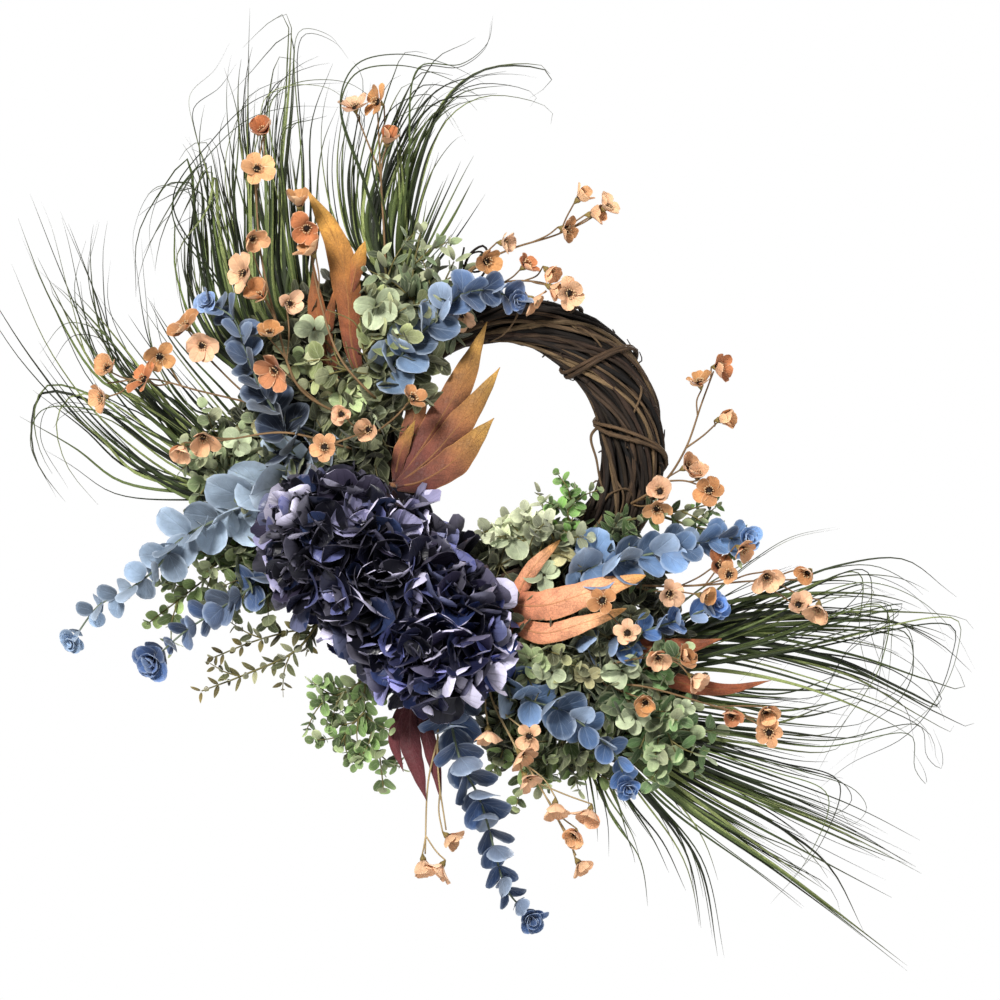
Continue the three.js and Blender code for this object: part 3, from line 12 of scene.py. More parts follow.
import bpy
import numpy as np
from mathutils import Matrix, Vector


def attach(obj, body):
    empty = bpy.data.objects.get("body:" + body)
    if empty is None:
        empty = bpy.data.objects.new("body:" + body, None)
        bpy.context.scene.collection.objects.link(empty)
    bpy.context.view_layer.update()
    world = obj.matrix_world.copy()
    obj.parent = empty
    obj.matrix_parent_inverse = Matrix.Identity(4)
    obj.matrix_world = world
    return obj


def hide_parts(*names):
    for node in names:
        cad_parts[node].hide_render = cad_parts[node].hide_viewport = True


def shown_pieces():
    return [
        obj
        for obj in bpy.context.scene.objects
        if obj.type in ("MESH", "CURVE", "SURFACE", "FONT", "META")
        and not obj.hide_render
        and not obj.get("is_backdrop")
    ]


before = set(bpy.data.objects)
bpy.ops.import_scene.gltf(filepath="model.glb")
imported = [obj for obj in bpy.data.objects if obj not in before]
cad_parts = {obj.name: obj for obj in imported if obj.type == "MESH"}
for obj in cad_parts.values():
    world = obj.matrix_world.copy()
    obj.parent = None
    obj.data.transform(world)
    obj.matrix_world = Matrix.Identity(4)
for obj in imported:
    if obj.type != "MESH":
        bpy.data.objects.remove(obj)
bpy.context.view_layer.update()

print("nodes in the frame:", len(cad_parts))

# %% [markdown]
# ## Directions, sizes and a fixed shake
#
# A real wreath has no two leaves alike. Each leaf, petal and blade here takes its own small differences
# from a fixed shake of its number, so that the wreath is uneven but the same on each run.

# %% Basic values
MM = 0.001
TURN = 2 * math.pi
TO_VIEWER = np.array([0.0, -1.0, 0.0])
UPWARD = np.array([0.0, 0.0, 1.0])
WALL_Y = 30.0
LEAST_LENGTH = 1e-9
# The fixed shake: its steps for its two numbers, its start and its scale.
SHAKE_STEPS = (12.9898, 78.233)
SHAKE_START = 4.1
SHAKE_SCALE = 43758.5453

RING_CENTRE = np.array([0.0, 0.0, -102.0])
# Every 36 degrees round from +X: the radius of the tube's middle line, and the tube's own radius.
RING_PROFILE = np.array([
    (134, 33), (132, 33), (128, 27), (124, 21), (130, 27),
    (131, 29), (131, 29), (131, 29), (132, 29), (137, 33),
], float)
RING_FLATNESS = 0.86


def shake(i, k=0):
    """A fixed number from 0 to 1 for two whole numbers."""
    s = math.sin(i * SHAKE_STEPS[0] + k * SHAKE_STEPS[1] + SHAKE_START) * SHAKE_SCALE
    return s - math.floor(s)


def swing(i, k=0, reach=1.0):
    """A fixed number from -reach to reach."""
    return (2 * shake(i, k) - 1) * reach


def mix(a, b, t):
    return a + (b - a) * t


def unit(v):
    v = np.asarray(v, float)
    return v / np.maximum(np.linalg.norm(v, axis=-1, keepdims=True), LEAST_LENGTH)


def linear(hex_colour):
    """An sRGB colour such as 8f5a3c as linear red, green and blue."""
    channels = np.array([int(hex_colour[i:i + 2], 16) for i in (0, 2, 4)]) / 255
    return np.where(channels <= 0.04045, channels / 12.92, ((channels + 0.055) / 1.055) ** 2.4)


def palette(*codes):
    return [linear(code) for code in codes]


print("hook at the origin, ring centre", RING_CENTRE)

# %% [markdown]
# ## Routes
#
# Stems, vines, midribs and blades all follow smooth curves through a few points. The curve is the
# centripetal Catmull-Rom one, which doesn't overshoot where two points are close together.

# %% Routes and their frames
ROUTE_SAMPLES = 24
LEAST_STEP = 1e-6


def cubic(start, end, leave, arrive, t):
    """The smooth run from start to end, with a slope at each of them, at shares t."""
    square = 3 * (end - start) - 2 * leave - arrive
    cube = 2 * (start - end) + leave + arrive
    return start + t * leave + t ** 2 * square + t ** 3 * cube


def smooth_route(points, count, start=0.0, end=1.0):
    """Evenly spaced points of the smooth curve through the given ones, from share start to share end."""
    p = np.asarray(points, float)
    if len(p) == 1:
        return np.repeat(p, count, axis=0)
    p = np.vstack([2 * p[0] - p[1], p, 2 * p[-1] - p[-2]])
    share = np.linspace(0, 1, ROUTE_SAMPLES, endpoint=False)[:, None]
    parts = []
    for a, b, c, d in zip(p, p[1:], p[2:], p[3:]):
        near, middle, far = (max(np.linalg.norm(q), LEAST_STEP) ** 0.5 for q in (b - a, c - b, d - c))
        leave = ((b - a) / near - (c - a) / (near + middle) + (c - b) / middle) * middle
        arrive = ((c - b) / middle - (d - b) / (middle + far) + (d - c) / far) * middle
        parts.append(cubic(b, c, leave, arrive, share))
    parts.append(p[-2:-1])
    fine = np.vstack(parts)
    steps = np.linalg.norm(np.diff(fine, axis=0), axis=1)
    length = np.concatenate([[0], np.cumsum(steps)])
    wanted = np.linspace(start, end, count) * length[-1]
    return np.stack([np.interp(wanted, length, fine[:, k]) for k in range(3)], axis=1)


def route_length(path):
    return float(np.linalg.norm(np.diff(path, axis=0), axis=1).sum())


def frames(path, hint=TO_VIEWER):
    """Tangent, side and front at each point; the front starts toward the hint and doesn't spin."""
    tangent = unit(np.gradient(path, axis=0))
    side = np.empty_like(tangent)
    before = np.cross(tangent[0], hint)
    for i, t in enumerate(tangent):
        across = before - (before @ t) * t
        side[i] = before = unit(across)
    return tangent, side, np.cross(side, tangent)


def nearest(path, x, z, start=0.2):
    """The number of the path's point that is nearest to x and z as the viewer sees them."""
    first = int(start * (len(path) - 1))
    gaps = np.hypot(path[first:, 0] - x, path[first:, 2] - z)
    return first + int(np.argmin(gaps))


print("a test route of", round(route_length(smooth_route([(0, 0, 0), (10, 0, 0), (10, 0, 10)], 20)), 1), "mm")

# %% [markdown]
# ## Pieces
#
# Every node of the model gets one finer piece, gathered from grids of points: tubes for stems and
# vines, and two-sided sheets for leaves, petals and blades. A sheet has a front and a back of their own
# tint, as real leaves do, which meet at its rim. The tint is kept at the points, and the materials
# work it out further.

# %% A piece, its tubes and its sheets
# A mesh has the material of its leaves first and that of its stems second.
LEAF, STEM = 0, 1
# The bark's pattern advances by one over this length of a tube.
BARK_STEP = 10


class Piece:
    """Grids of points that become one mesh."""

    def __init__(self, node):
        self.node = node
        self.points, self.tints, self.uvs, self.quads, self.kinds = [], [], [], [], []
        self.count = 0

    def grid(self, points, tint, kind=LEAF, uv=None, flip=False, closed=False):
        """A surface through rows of points. A quad's front is where its columns turn right of its rows."""
        rows, columns = points.shape[:2]
        index = np.arange(rows * columns).reshape(rows, columns) + self.count
        if uv is None:
            u = np.linspace(0, 1, rows)[:, None]
            v = np.linspace(0, 1, columns + closed)[None, :]
            uv = np.stack(np.broadcast_arrays(u, v), axis=-1)
        if closed:
            index = np.concatenate([index, index[:, :1]], axis=1)
        corners = [np.s_[:-1, :-1], np.s_[:-1, 1:], np.s_[1:, 1:], np.s_[1:, :-1]]
        if flip:
            corners.reverse()
        quads = np.stack([index[c] for c in corners], axis=-1).reshape(-1, 4)
        loops = np.stack([uv[c] for c in corners], axis=2).reshape(-1, 4, 2)
        self.points.append(points.reshape(-1, 3))
        self.tints.append(np.broadcast_to(tint, points.shape).reshape(-1, 3))
        self.quads.append(quads)
        self.uvs.append(loops)
        self.kinds.append(np.full(len(quads), kind))
        self.count += rows * columns

    def sheet(self, points, front, back, thickness):
        """A thin leaf: a front and a back that meet at the rim."""
        rows, columns = points.shape[:2]
        normal = unit(np.cross(np.gradient(points, axis=1), np.gradient(points, axis=0)))
        body = np.ones((rows, columns, 1))
        body[0] = body[-1] = 0
        body[:, 0] = body[:, -1] = 0
        offset = normal * body * thickness / 2
        self.grid(points + offset, front, flip=True)
        self.grid(points - offset, back)

    def tube(self, path, radii, tint, sides=6, kind=LEAF, hint=TO_VIEWER, flat=1.0):
        """A round rod along a path, closed at both ends; flat squeezes it from front to back."""
        radii = np.broadcast_to(radii, len(path)).astype(float)
        _, side, front = frames(path, hint)
        path = np.vstack([path[:1], path, path[-1:]])
        radii = np.concatenate([[0.0], radii, [0.0]])
        side = np.vstack([side[:1], side, side[-1:]])
        front = np.vstack([front[:1], front, front[-1:]])
        angle = np.arange(sides) * TURN / sides
        ring = (side[:, None] * np.cos(angle)[None, :, None]
                + flat * front[:, None] * np.sin(angle)[None, :, None])
        points = path[:, None] + radii[:, None, None] * ring
        along = np.concatenate([[0], np.cumsum(np.linalg.norm(np.diff(path, axis=0), axis=1))]) / BARK_STEP
        v = np.linspace(0, 1, sides + 1)
        uv = np.stack(np.broadcast_arrays(along[:, None], v[None, :]), axis=-1)
        tint = np.asarray(tint, float)
        if tint.ndim == 2:
            tint = np.vstack([tint[:1], tint, tint[-1:]])[:, None, :]
        self.grid(points, tint, kind, uv=uv, closed=True)

    def stem(self, path, thick, thin, tint, sides=6, kind=STEM):
        """A rod that tapers evenly."""
        self.tube(path, np.linspace(thick, thin, len(path)), tint, sides, kind)

    def build(self, materials):
        """The mesh object, which rides with the wreath and stands for its node."""
        points = np.concatenate(self.points)
        quads = np.concatenate(self.quads)
        mesh = bpy.data.meshes.new(self.node + "_fine")
        mesh.from_pydata((points * MM).tolist(), [], quads.tolist())
        layer = mesh.uv_layers.new(name="UVMap")
        layer.data.foreach_set("uv", np.concatenate(self.uvs).astype(np.float32).ravel())
        colours = np.ones((len(points), 4), np.float32)
        colours[:, :3] = np.clip(np.concatenate(self.tints), 0, 1)
        tint = mesh.color_attributes.new(name="tint", type="FLOAT_COLOR", domain="POINT")
        tint.data.foreach_set("color", colours.ravel())
        mesh.polygons.foreach_set("material_index", np.concatenate(self.kinds).astype(np.int32))
        mesh.polygons.foreach_set("use_smooth", np.ones(len(quads), bool))
        for material in materials:
            mesh.materials.append(material)
        mesh.update()
        obj = bpy.data.objects.new(self.node + "_fine", mesh)
        bpy.context.scene.collection.objects.link(obj)
        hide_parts(self.node)
        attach(obj, "root")
        print(f"{self.node}: {2 * len(quads)} triangles")
        return obj


# %% [markdown]
# ## The form of one leaf or petal
#
# A leaf is a sheet whose width follows its outline, cupped across, curled along its length and a
# little wavy at its edge. Round leaves, petals and narrow leaves differ only in those few values.

# %% Leaf forms
# Rows and columns of a leaf, and the thickness of its fabric.
LEAF_GRID = (8, 7)
LEAF_THICKNESS = 0.6
# At its base and tip a leaf keeps this share of its width.
LEAST_WIDTH = 0.03
LEAST_BEND = 1e-3
# How fast the waves of an edge run along and across a leaf, and the reach of their fixed start.
WAVE_ALONG, WAVE_ACROSS = 7, 1.5
WAVE_START = 6


def outline_width(outline, t):
    """The half width from 0 to 1 at share t; the outline's two powers set how its base and tip close."""
    low, high = outline
    peak = low / (low + high)
    highest = peak ** low * (1 - peak) ** high
    return np.clip(t, 0, 1) ** low * np.clip(1 - t, 0, 1) ** high / highest


def leaf_form(base, axis, face, length, width, outline, cup=0.12, curl=0.2, wave=0.0, phase=0.0,
              grid=LEAF_GRID):
    """The points of a leaf: rows from its base to its tip, columns from its left edge to its right edge."""
    rows, columns = grid
    axis = unit(axis)
    face = unit(face - (face @ axis) * axis)
    side = np.cross(axis, face)
    t = (1 - np.cos(np.pi * np.linspace(0, 1, rows))) / 2
    half = np.maximum(outline_width(outline, t), LEAST_WIDTH) * width / 2
    s = np.linspace(-1, 1, columns)
    bend = curl if abs(curl) > LEAST_BEND else LEAST_BEND
    along = np.sin(bend * t) / bend * length
    drop = (1 - np.cos(bend * t)) / bend * length
    waves = np.sin(phase + WAVE_ALONG * t[:, None] + WAVE_ACROSS * s[None, :])
    ripple = wave * width * waves * s[None, :] ** 2
    rise = cup * half[:, None] * s[None, :] ** 2 + ripple - drop[:, None]
    return (base + along[:, None, None] * axis + (half[:, None] * s)[..., None] * side
            + rise[..., None] * face)


def shades(base, tip, rows=LEAF_GRID[0]):
    """The lightness of a leaf's rows, from its base to its tip."""
    return np.linspace(base, tip, rows)[:, None, None]


def turned(v, axis, angle):
    """v turned about an axis."""
    axis = unit(axis)
    cosine, sine = math.cos(angle), math.sin(angle)
    return v * cosine + np.cross(axis, v) * sine + axis * (axis @ v) * (1 - cosine)


def between(a, b, angle):
    """The direction at an angle from a toward b, which is square to a."""
    return a * math.cos(angle) + b * math.sin(angle)


def square_to(normal, hint=(0.3, 0.2, 0.9)):
    """Two directions square to a normal and to each other."""
    across = unit(np.cross(normal, hint))
    return across, np.cross(normal, across)


def raised(across, over, normal, angle, lift):
    """A petal's way outward, its axis and its face: at an angle round its flower, raised by a lift."""
    outward = between(across, over, angle)
    return outward, between(outward, normal, lift), between(normal, -outward, lift)


print("a round leaf has", leaf_form(np.zeros(3), UPWARD, TO_VIEWER, 30, 30, (0.5, 0.5)).shape[:2], "points")

# %% [markdown]
# ## Shader parts
#
# The materials share a few effects, each a node group with named inputs: a mottled tint, side veins and
# a midrib, a pale rim, a net of fine veins, and streaks that run along bark and grass. Each group reads
# the tint, the leaf's own coordinates or the place on the object, so it looks the same from all sides.

# %% Node helpers
# The inputs and the output of a mix node that work on colours.
MIX_FACTOR, MIX_A, MIX_B = 0, 6, 7
MIX_RESULT = 2


def add(tree, kind, inputs=None, **settings):
    """A node with its settings, and its inputs given as values or as sockets to link."""
    node = tree.nodes.new(kind)
    for key, value in settings.items():
        setattr(node, key, value)
    for key, value in (inputs or {}).items():
        if isinstance(value, bpy.types.NodeSocket):
            tree.links.new(value, node.inputs[key])
        else:
            node.inputs[key].default_value = value
    return node


def maths(tree, operation, a, b=0.0):
    return add(tree, "ShaderNodeMath", {0: a, 1: b}, operation=operation).outputs[0]


def ramp(tree, value, low, high, to_low=0.0, to_high=1.0):
    """value from low to high becomes to_low to to_high, with soft ends."""
    inputs = {"Value": value, "From Min": low, "From Max": high, "To Min": to_low, "To Max": to_high}
    return add(tree, "ShaderNodeMapRange", inputs, interpolation_type="SMOOTHSTEP").outputs["Result"]


def blended(tree, factor, a, b, blend="MIX"):
    """Two colours mixed by a factor."""
    inputs = {MIX_FACTOR: factor, MIX_A: a, MIX_B: b}
    return add(tree, "ShaderNodeMix", inputs, data_type="RGBA", blend_type=blend).outputs[MIX_RESULT]


def lightened(tree, colour, light):
    """A colour times a lightness."""
    grey = add(tree, "ShaderNodeCombineXYZ", {"X": light, "Y": light, "Z": light}).outputs["Vector"]
    return blended(tree, 1.0, colour, grey, "MULTIPLY")


def mesh_place(tree):
    """How far along and how far round or across its tube, leaf or blade a point lies, each from 0 to 1."""
    uv = add(tree, "ShaderNodeUVMap", uv_map="UVMap").outputs["UV"]
    return add(tree, "ShaderNodeSeparateXYZ", {"Vector": uv}).outputs


def from_midrib(tree, across):
    """0 at a leaf's midrib, 1 at its edges."""
    return maths(tree, "ABSOLUTE", maths(tree, "SUBTRACT", maths(tree, "MULTIPLY", across, 2.0), 1.0))


def new_group(name, inputs, outputs):
    """An empty node group; inputs and outputs are {name: (socket type, default)} and {name: type}."""
    tree = bpy.data.node_groups.new(name, "ShaderNodeTree")
    for key, (kind, default) in inputs.items():
        socket = tree.interface.new_socket(name=key, in_out="INPUT", socket_type="NodeSocket" + kind)
        socket.default_value = default
    for key, kind in outputs.items():
        tree.interface.new_socket(name=key, in_out="OUTPUT", socket_type="NodeSocket" + kind)
    return tree, tree.nodes.new("NodeGroupInput").outputs, tree.nodes.new("NodeGroupOutput").inputs


def use(tree, group, inputs=None):
    return add(tree, "ShaderNodeGroup", inputs, node_tree=group).outputs


# %% Shared groups


def mottle_group():
    """The tint, uneven in lightness over a few millimetres and in finer specks."""
    inputs = {"Tint": ("Color", (0.5, 0.5, 0.5, 1)), "Blotch Scale": ("Float", 60.0),
              "Blotch Depth": ("Float", 0.3), "Speck Scale": ("Float", 600.0), "Speck Depth": ("Float", 0.15)}
    tree, given, result = new_group("mottled_tint", inputs, {"Color": "Color", "Blotches": "Float"})
    place = add(tree, "ShaderNodeTexCoord").outputs["Object"]
    noises, parts = [], []
    for size, detail in (("Blotch", 3.0), ("Speck", 2.0)):
        noise = {"Vector": place, "Scale": given[size + " Scale"], "Detail": detail}
        noises.append(add(tree, "ShaderNodeTexNoise", noise).outputs["Fac"])
        uneven = maths(tree, "SUBTRACT", noises[-1], 0.5)
        parts.append(maths(tree, "MULTIPLY", uneven, given[size + " Depth"]))
    both = maths(tree, "MULTIPLY", maths(tree, "ADD", *parts), 2.0)
    light = maths(tree, "MAXIMUM", maths(tree, "ADD", both, 1.0), 0.1)
    tree.links.new(lightened(tree, given["Tint"], light), result["Color"])
    tree.links.new(noises[0], result["Blotches"])
    return tree


def veins_group():
    """A midrib and side veins that leave it at a slope toward the tip, from the leaf's own coordinates."""
    inputs = {"Count": ("Float", 7.0), "Slope": ("Float", 0.35), "Width": ("Float", 0.12)}
    tree, given, result = new_group("leaf_veins", inputs, {"Veins": "Float"})
    parts = mesh_place(tree)
    across = from_midrib(tree, parts["Y"])
    midrib = ramp(tree, across, 0.0, given["Width"], 1.0, 0.0)
    slanted = maths(tree, "SUBTRACT", parts["X"], maths(tree, "MULTIPLY", across, given["Slope"]))
    phase = maths(tree, "FRACT", maths(tree, "MULTIPLY", slanted, given["Count"]))
    apart = maths(tree, "ABSOLUTE", maths(tree, "SUBTRACT", phase, 0.5))
    side = ramp(tree, apart, 0.0, given["Width"], 1.0, 0.0)
    faded = maths(tree, "MULTIPLY", side, ramp(tree, across, 0.2, 1.0, 0.8, 0.15))
    tree.links.new(maths(tree, "MAXIMUM", midrib, faded), result["Veins"])
    return tree


def rim_group():
    """1 at the leaf's edge and tip, 0 inside."""
    tree, given, result = new_group("pale_rim", {"Band": ("Float", 0.2)}, {"Rim": "Float"})
    parts = mesh_place(tree)
    across = from_midrib(tree, parts["Y"])
    inner = maths(tree, "SUBTRACT", 1.0, given["Band"])
    edge = ramp(tree, across, inner, 1.0)
    tip = ramp(tree, parts["X"], inner, 1.0)
    tree.links.new(maths(tree, "MAXIMUM", edge, tip), result["Rim"])
    return tree


def net_group():
    """The fine net between a leaf's veins: 1 on its lines."""
    tree, given, result = new_group("vein_net", {"Scale": ("Float", 300.0), "Width": ("Float", 0.08)},
                                    {"Net": "Float"})
    place = add(tree, "ShaderNodeTexCoord").outputs["Object"]
    cells = add(tree, "ShaderNodeTexVoronoi", {"Vector": place, "Scale": given["Scale"]},
                feature="DISTANCE_TO_EDGE").outputs["Distance"]
    tree.links.new(ramp(tree, cells, 0.0, given["Width"], 1.0, 0.0), result["Net"])
    return tree


def streaks_group():
    """Uneven lines that run along a vine, twig or blade."""
    inputs = {"Along Scale": ("Float", 0.6), "Across Scale": ("Float", 6.0)}
    tree, given, result = new_group("long_streaks", inputs, {"Streaks": "Float", "Fine": "Float"})
    parts = mesh_place(tree)
    around = maths(tree, "MULTIPLY", parts["Y"], TURN)
    # Going round by sine and cosine, so that the streaks meet where the tube closes.
    x = maths(tree, "MULTIPLY", maths(tree, "COSINE", around), given["Across Scale"])
    y = maths(tree, "MULTIPLY", maths(tree, "SINE", around), given["Across Scale"])
    z = maths(tree, "MULTIPLY", parts["X"], given["Along Scale"])
    place = add(tree, "ShaderNodeCombineXYZ", {"X": x, "Y": y, "Z": z}).outputs["Vector"]
    broad = add(tree, "ShaderNodeTexNoise", {"Vector": place, "Scale": 0.35, "Detail": 3.0}).outputs["Fac"]
    fine = add(tree, "ShaderNodeTexNoise", {"Vector": place, "Scale": 1.2, "Detail": 4.0}).outputs["Fac"]
    tree.links.new(broad, result["Streaks"])
    tree.links.new(fine, result["Fine"])
    return tree


MOTTLE = mottle_group()
VEINS = veins_group()
RIM = rim_group()
NET = net_group()
STREAKS = streaks_group()
print("groups:", [group.name for group in bpy.data.node_groups])

# %% [markdown]
# ## Materials
#
# The leaves and flowers of such a wreath are printed, slightly fuzzy fabric: matte, with a soft sheen
# at grazing angles, printed veins and edges that are paler or darker than the middle. The vines are dry
# bark. Each material starts from the tint kept in the mesh, so that one material serves many leaves.

# %% A new material


def new_material(name, roughness, sheen=0.0):
    """A material with its shader, and the tint kept in the mesh."""
    material = bpy.data.materials.new(name)
    material.use_nodes = True
    tree = material.node_tree
    shader = tree.nodes["Principled BSDF"]
    shader.inputs["Roughness"].default_value = roughness
    shader.inputs["Sheen Weight"].default_value = sheen
    shader.inputs["Specular IOR Level"].default_value = 0.3
    tint = add(tree, "ShaderNodeAttribute", attribute_name="tint").outputs["Color"]
    return material, tree, shader, tint


def bump(tree, shader, height, depth_mm, strength=1.0):
    """The height, 0 to 1, as relief of that many millimetres."""
    node = add(tree, "ShaderNodeBump", {"Height": height, "Distance": depth_mm * MM, "Strength": strength})
    tree.links.new(node.outputs["Normal"], shader.inputs["Normal"])


# %% Bark and twigs


def bark_material(name, roughness, dark, light, depth_mm):
    """Dry bark: long dark and tan streaks, with fine cracks between them."""
    material, tree, shader, tint = new_material(name, roughness)
    streaks = use(tree, STREAKS, {"Along Scale": 0.5, "Across Scale": 5.0})
    shade = ramp(tree, streaks["Fine"], 0.3, 0.7, dark, light)
    streaked = lightened(tree, tint, shade)
    mottled = use(tree, MOTTLE, {"Tint": streaked, "Blotch Scale": 45.0, "Blotch Depth": 0.5,
                                 "Speck Scale": 900.0, "Speck Depth": 0.25})
    tree.links.new(mottled["Color"], shader.inputs["Base Color"])
    tree.links.new(ramp(tree, streaks["Streaks"], 0.3, 0.7, roughness - 0.12, roughness + 0.08),
                   shader.inputs["Roughness"])
    bump(tree, shader, streaks["Fine"], depth_mm)
    return material


VINE = bark_material("vine_bark", roughness=0.78, dark=0.22, light=1.55, depth_mm=0.8)
TWIG = bark_material("twig_bark", roughness=0.7, dark=0.7, light=1.25, depth_mm=0.3)

# %% Leaves


def leaf_material(name, roughness, sheen, veins, vein_shade, vein_share, rim, rim_colour, rim_share, mottle,
                  net=None):
    """A printed fabric leaf: its tint with mottling, veins, a rim and, for large leaves, a net."""
    material, tree, shader, tint = new_material(name, roughness, sheen)
    mottled = use(tree, MOTTLE, {"Tint": tint, **mottle})
    lines = use(tree, VEINS, veins)
    edge = use(tree, RIM, {"Band": rim})["Rim"]
    colour = mottled["Color"]
    height = maths(tree, "MULTIPLY", lines["Veins"], 0.6)
    if net:
        mesh_lines = use(tree, NET, net)["Net"]
        colour = blended(tree, maths(tree, "MULTIPLY", mesh_lines, 0.12), colour, (*vein_shade, 1))
        height = maths(tree, "ADD", height, maths(tree, "MULTIPLY", mesh_lines, 0.4))
    colour = blended(tree, maths(tree, "MULTIPLY", lines["Veins"], vein_share), colour, (*vein_shade, 1))
    colour = blended(tree, maths(tree, "MULTIPLY", edge, rim_share), colour, (*rim_colour, 1))
    tree.links.new(colour, shader.inputs["Base Color"])
    tree.links.new(ramp(tree, mottled["Blotches"], 0.3, 0.7, roughness - 0.1, roughness + 0.06),
                   shader.inputs["Roughness"])
    bump(tree, shader, height, 0.5)
    return material


FABRIC_NET = {"Scale": 260.0, "Width": 0.1}
HYDRANGEA = leaf_material(
    "hydrangea_petal", roughness=0.44, sheen=0.0,
    veins={"Count": 5.0, "Slope": 0.5, "Width": 0.14}, vein_shade=linear("0c0c18"), vein_share=0.35,
    rim=0.07, rim_colour=linear("a9a4c0"), rim_share=0.14,
    mottle={"Blotch Scale": 40.0, "Blotch Depth": 0.5, "Speck Scale": 700.0, "Speck Depth": 0.12},
)
AUTUMN = leaf_material(
    "autumn_leaf", roughness=0.7, sheen=0.2,
    veins={"Count": 11.0, "Slope": 0.22, "Width": 0.06}, vein_shade=linear("6a3218"), vein_share=0.4,
    rim=0.12, rim_colour=linear("c08a4c"), rim_share=0.3,
    mottle={"Blotch Scale": 55.0, "Blotch Depth": 0.8, "Speck Scale": 700.0, "Speck Depth": 0.45},
    net=FABRIC_NET,
)
BURGUNDY = leaf_material(
    "burgundy_leaf", roughness=0.65, sheen=0.2,
    veins={"Count": 9.0, "Slope": 0.25, "Width": 0.08}, vein_shade=linear("8a4a50"), vein_share=0.3,
    rim=0.1, rim_colour=linear("7c4448"), rim_share=0.3,
    mottle={"Blotch Scale": 45.0, "Blotch Depth": 0.4, "Speck Scale": 800.0, "Speck Depth": 0.25},
    net=FABRIC_NET,
)
BLUE = leaf_material(
    "blue_leaf", roughness=0.6, sheen=0.15,
    veins={"Count": 4.0, "Slope": 0.6, "Width": 0.08}, vein_shade=linear("a4b8d2"), vein_share=0.16,
    rim=0.32, rim_colour=linear("cad8ea"), rim_share=0.32,
    mottle={"Blotch Scale": 50.0, "Blotch Depth": 0.7, "Speck Scale": 900.0, "Speck Depth": 0.15},
)
GREEN = leaf_material(
    "green_leaf", roughness=0.6, sheen=0.1,
    veins={"Count": 4.0, "Slope": 0.5, "Width": 0.1}, vein_shade=linear("d8dcb8"), vein_share=0.2,
    rim=0.3, rim_colour=linear("d2d4a8"), rim_share=0.22,
    mottle={"Blotch Scale": 70.0, "Blotch Depth": 0.8, "Speck Scale": 900.0, "Speck Depth": 0.2},
)
BLOSSOM = leaf_material(
    "blossom_petal", roughness=0.66, sheen=0.1,
    veins={"Count": 6.0, "Slope": 0.3, "Width": 0.12}, vein_shade=linear("a4683e"), vein_share=0.2,
    rim=0.14, rim_colour=linear("f0cda8"), rim_share=0.45,
    mottle={"Blotch Scale": 70.0, "Blotch Depth": 0.6, "Speck Scale": 900.0, "Speck Depth": 0.15},
)

# %% Grass


def grass_material():
    """A smooth blade: lighter and darker lines along it."""
    material, tree, shader, tint = new_material("grass_blade", 0.48)
    uv = add(tree, "ShaderNodeUVMap", uv_map="UVMap").outputs["UV"]
    stretched = add(tree, "ShaderNodeMapping", {"Vector": uv, "Scale": (3.0, 5.0, 1.0)}).outputs["Vector"]
    lines = add(tree, "ShaderNodeTexNoise", {"Vector": stretched, "Scale": 4.0, "Detail": 2.0}).outputs["Fac"]
    shade = ramp(tree, lines, 0.35, 0.65, 0.5, 1.6)
    striped = lightened(tree, tint, shade)
    mottled = use(tree, MOTTLE, {"Tint": striped, "Blotch Scale": 25.0, "Blotch Depth": 0.5,
                                 "Speck Scale": 500.0, "Speck Depth": 0.1})
    tree.links.new(mottled["Color"], shader.inputs["Base Color"])
    tree.links.new(ramp(tree, lines, 0.3, 0.7, 0.42, 0.6), shader.inputs["Roughness"])
    bump(tree, shader, lines, 0.2)
    return material


GRASS = grass_material()
print("materials:", [material.name for material in bpy.data.materials if material.use_nodes])

# %% [markdown]
# ## The vine ring
#
# A grapevine ring is made of long vines laid side by side round a form and twisted a little more than
# once a lap, so the eye follows each for a third of the ring before it dives under its neighbours.
# Here 84 strands lie in three layers round the tube; each wanders, has knots, and ends inside.

# %% Places on the ring
RING_TWISTS = 1.25
STRAND_POINTS = 112
END_SHARE = 0.05
END_SINK = 12.0
# How far round the tube a strand's slow and quick waves move it, how far it rises and sinks between the
# others, and how much its thickness changes.
SLOW_WANDER, QUICK_WANDER = 0.30, 0.13
HEAVE = 1.6
THICKNESS_WAVE = 0.12


def ring_profile(turn):
    """The radius of the tube's middle line and the tube's own radius at each turn."""
    place = np.mod(np.asarray(turn, float), 1.0) * len(RING_PROFILE)
    first = np.floor(place).astype(int)
    t = (place - first)[..., None]
    a, b, c, d = (RING_PROFILE[(first + k) % len(RING_PROFILE)] for k in (-1, 0, 1, 2))
    leave, arrive = (c - a) / 2, (d - b) / 2
    both = cubic(b, c, leave, arrive, t)
    return both[..., 0], both[..., 1]


def on_ring(turn, angle, depth):
    """The place at turn round the ring and angle round its tube, a depth below the tube's surface."""
    middle, tube = ring_profile(turn)
    out = np.stack([np.cos(turn * TURN), np.zeros_like(turn), np.sin(turn * TURN)], axis=-1)
    radius = tube - depth
    return (RING_CENTRE + out * (middle + radius * np.cos(angle))[..., None]
            + TO_VIEWER * (radius * np.sin(angle) * RING_FLATNESS)[..., None])


# %% Vine strands
VINE_TINTS = palette("33271e", "3d2f24", "251c16", "4a392a", "6a553e", "32261e", "80694c", "3c2c22")
# Each layer: how many strands, how deep below the surface, thinnest and thickest radius.
STRAND_LAYERS = [(40, 0.0, 1.3, 2.9), (30, 4.5, 1.7, 3.2), (14, 10.0, 3.0, 4.6)]
# The lower layers are darker: painted shade between the vines.
DEPTH_PAINTED_SHADE = 0.2
STRAND_LIGHTNESS = (0.2, 0.86)
KNOTS = 9
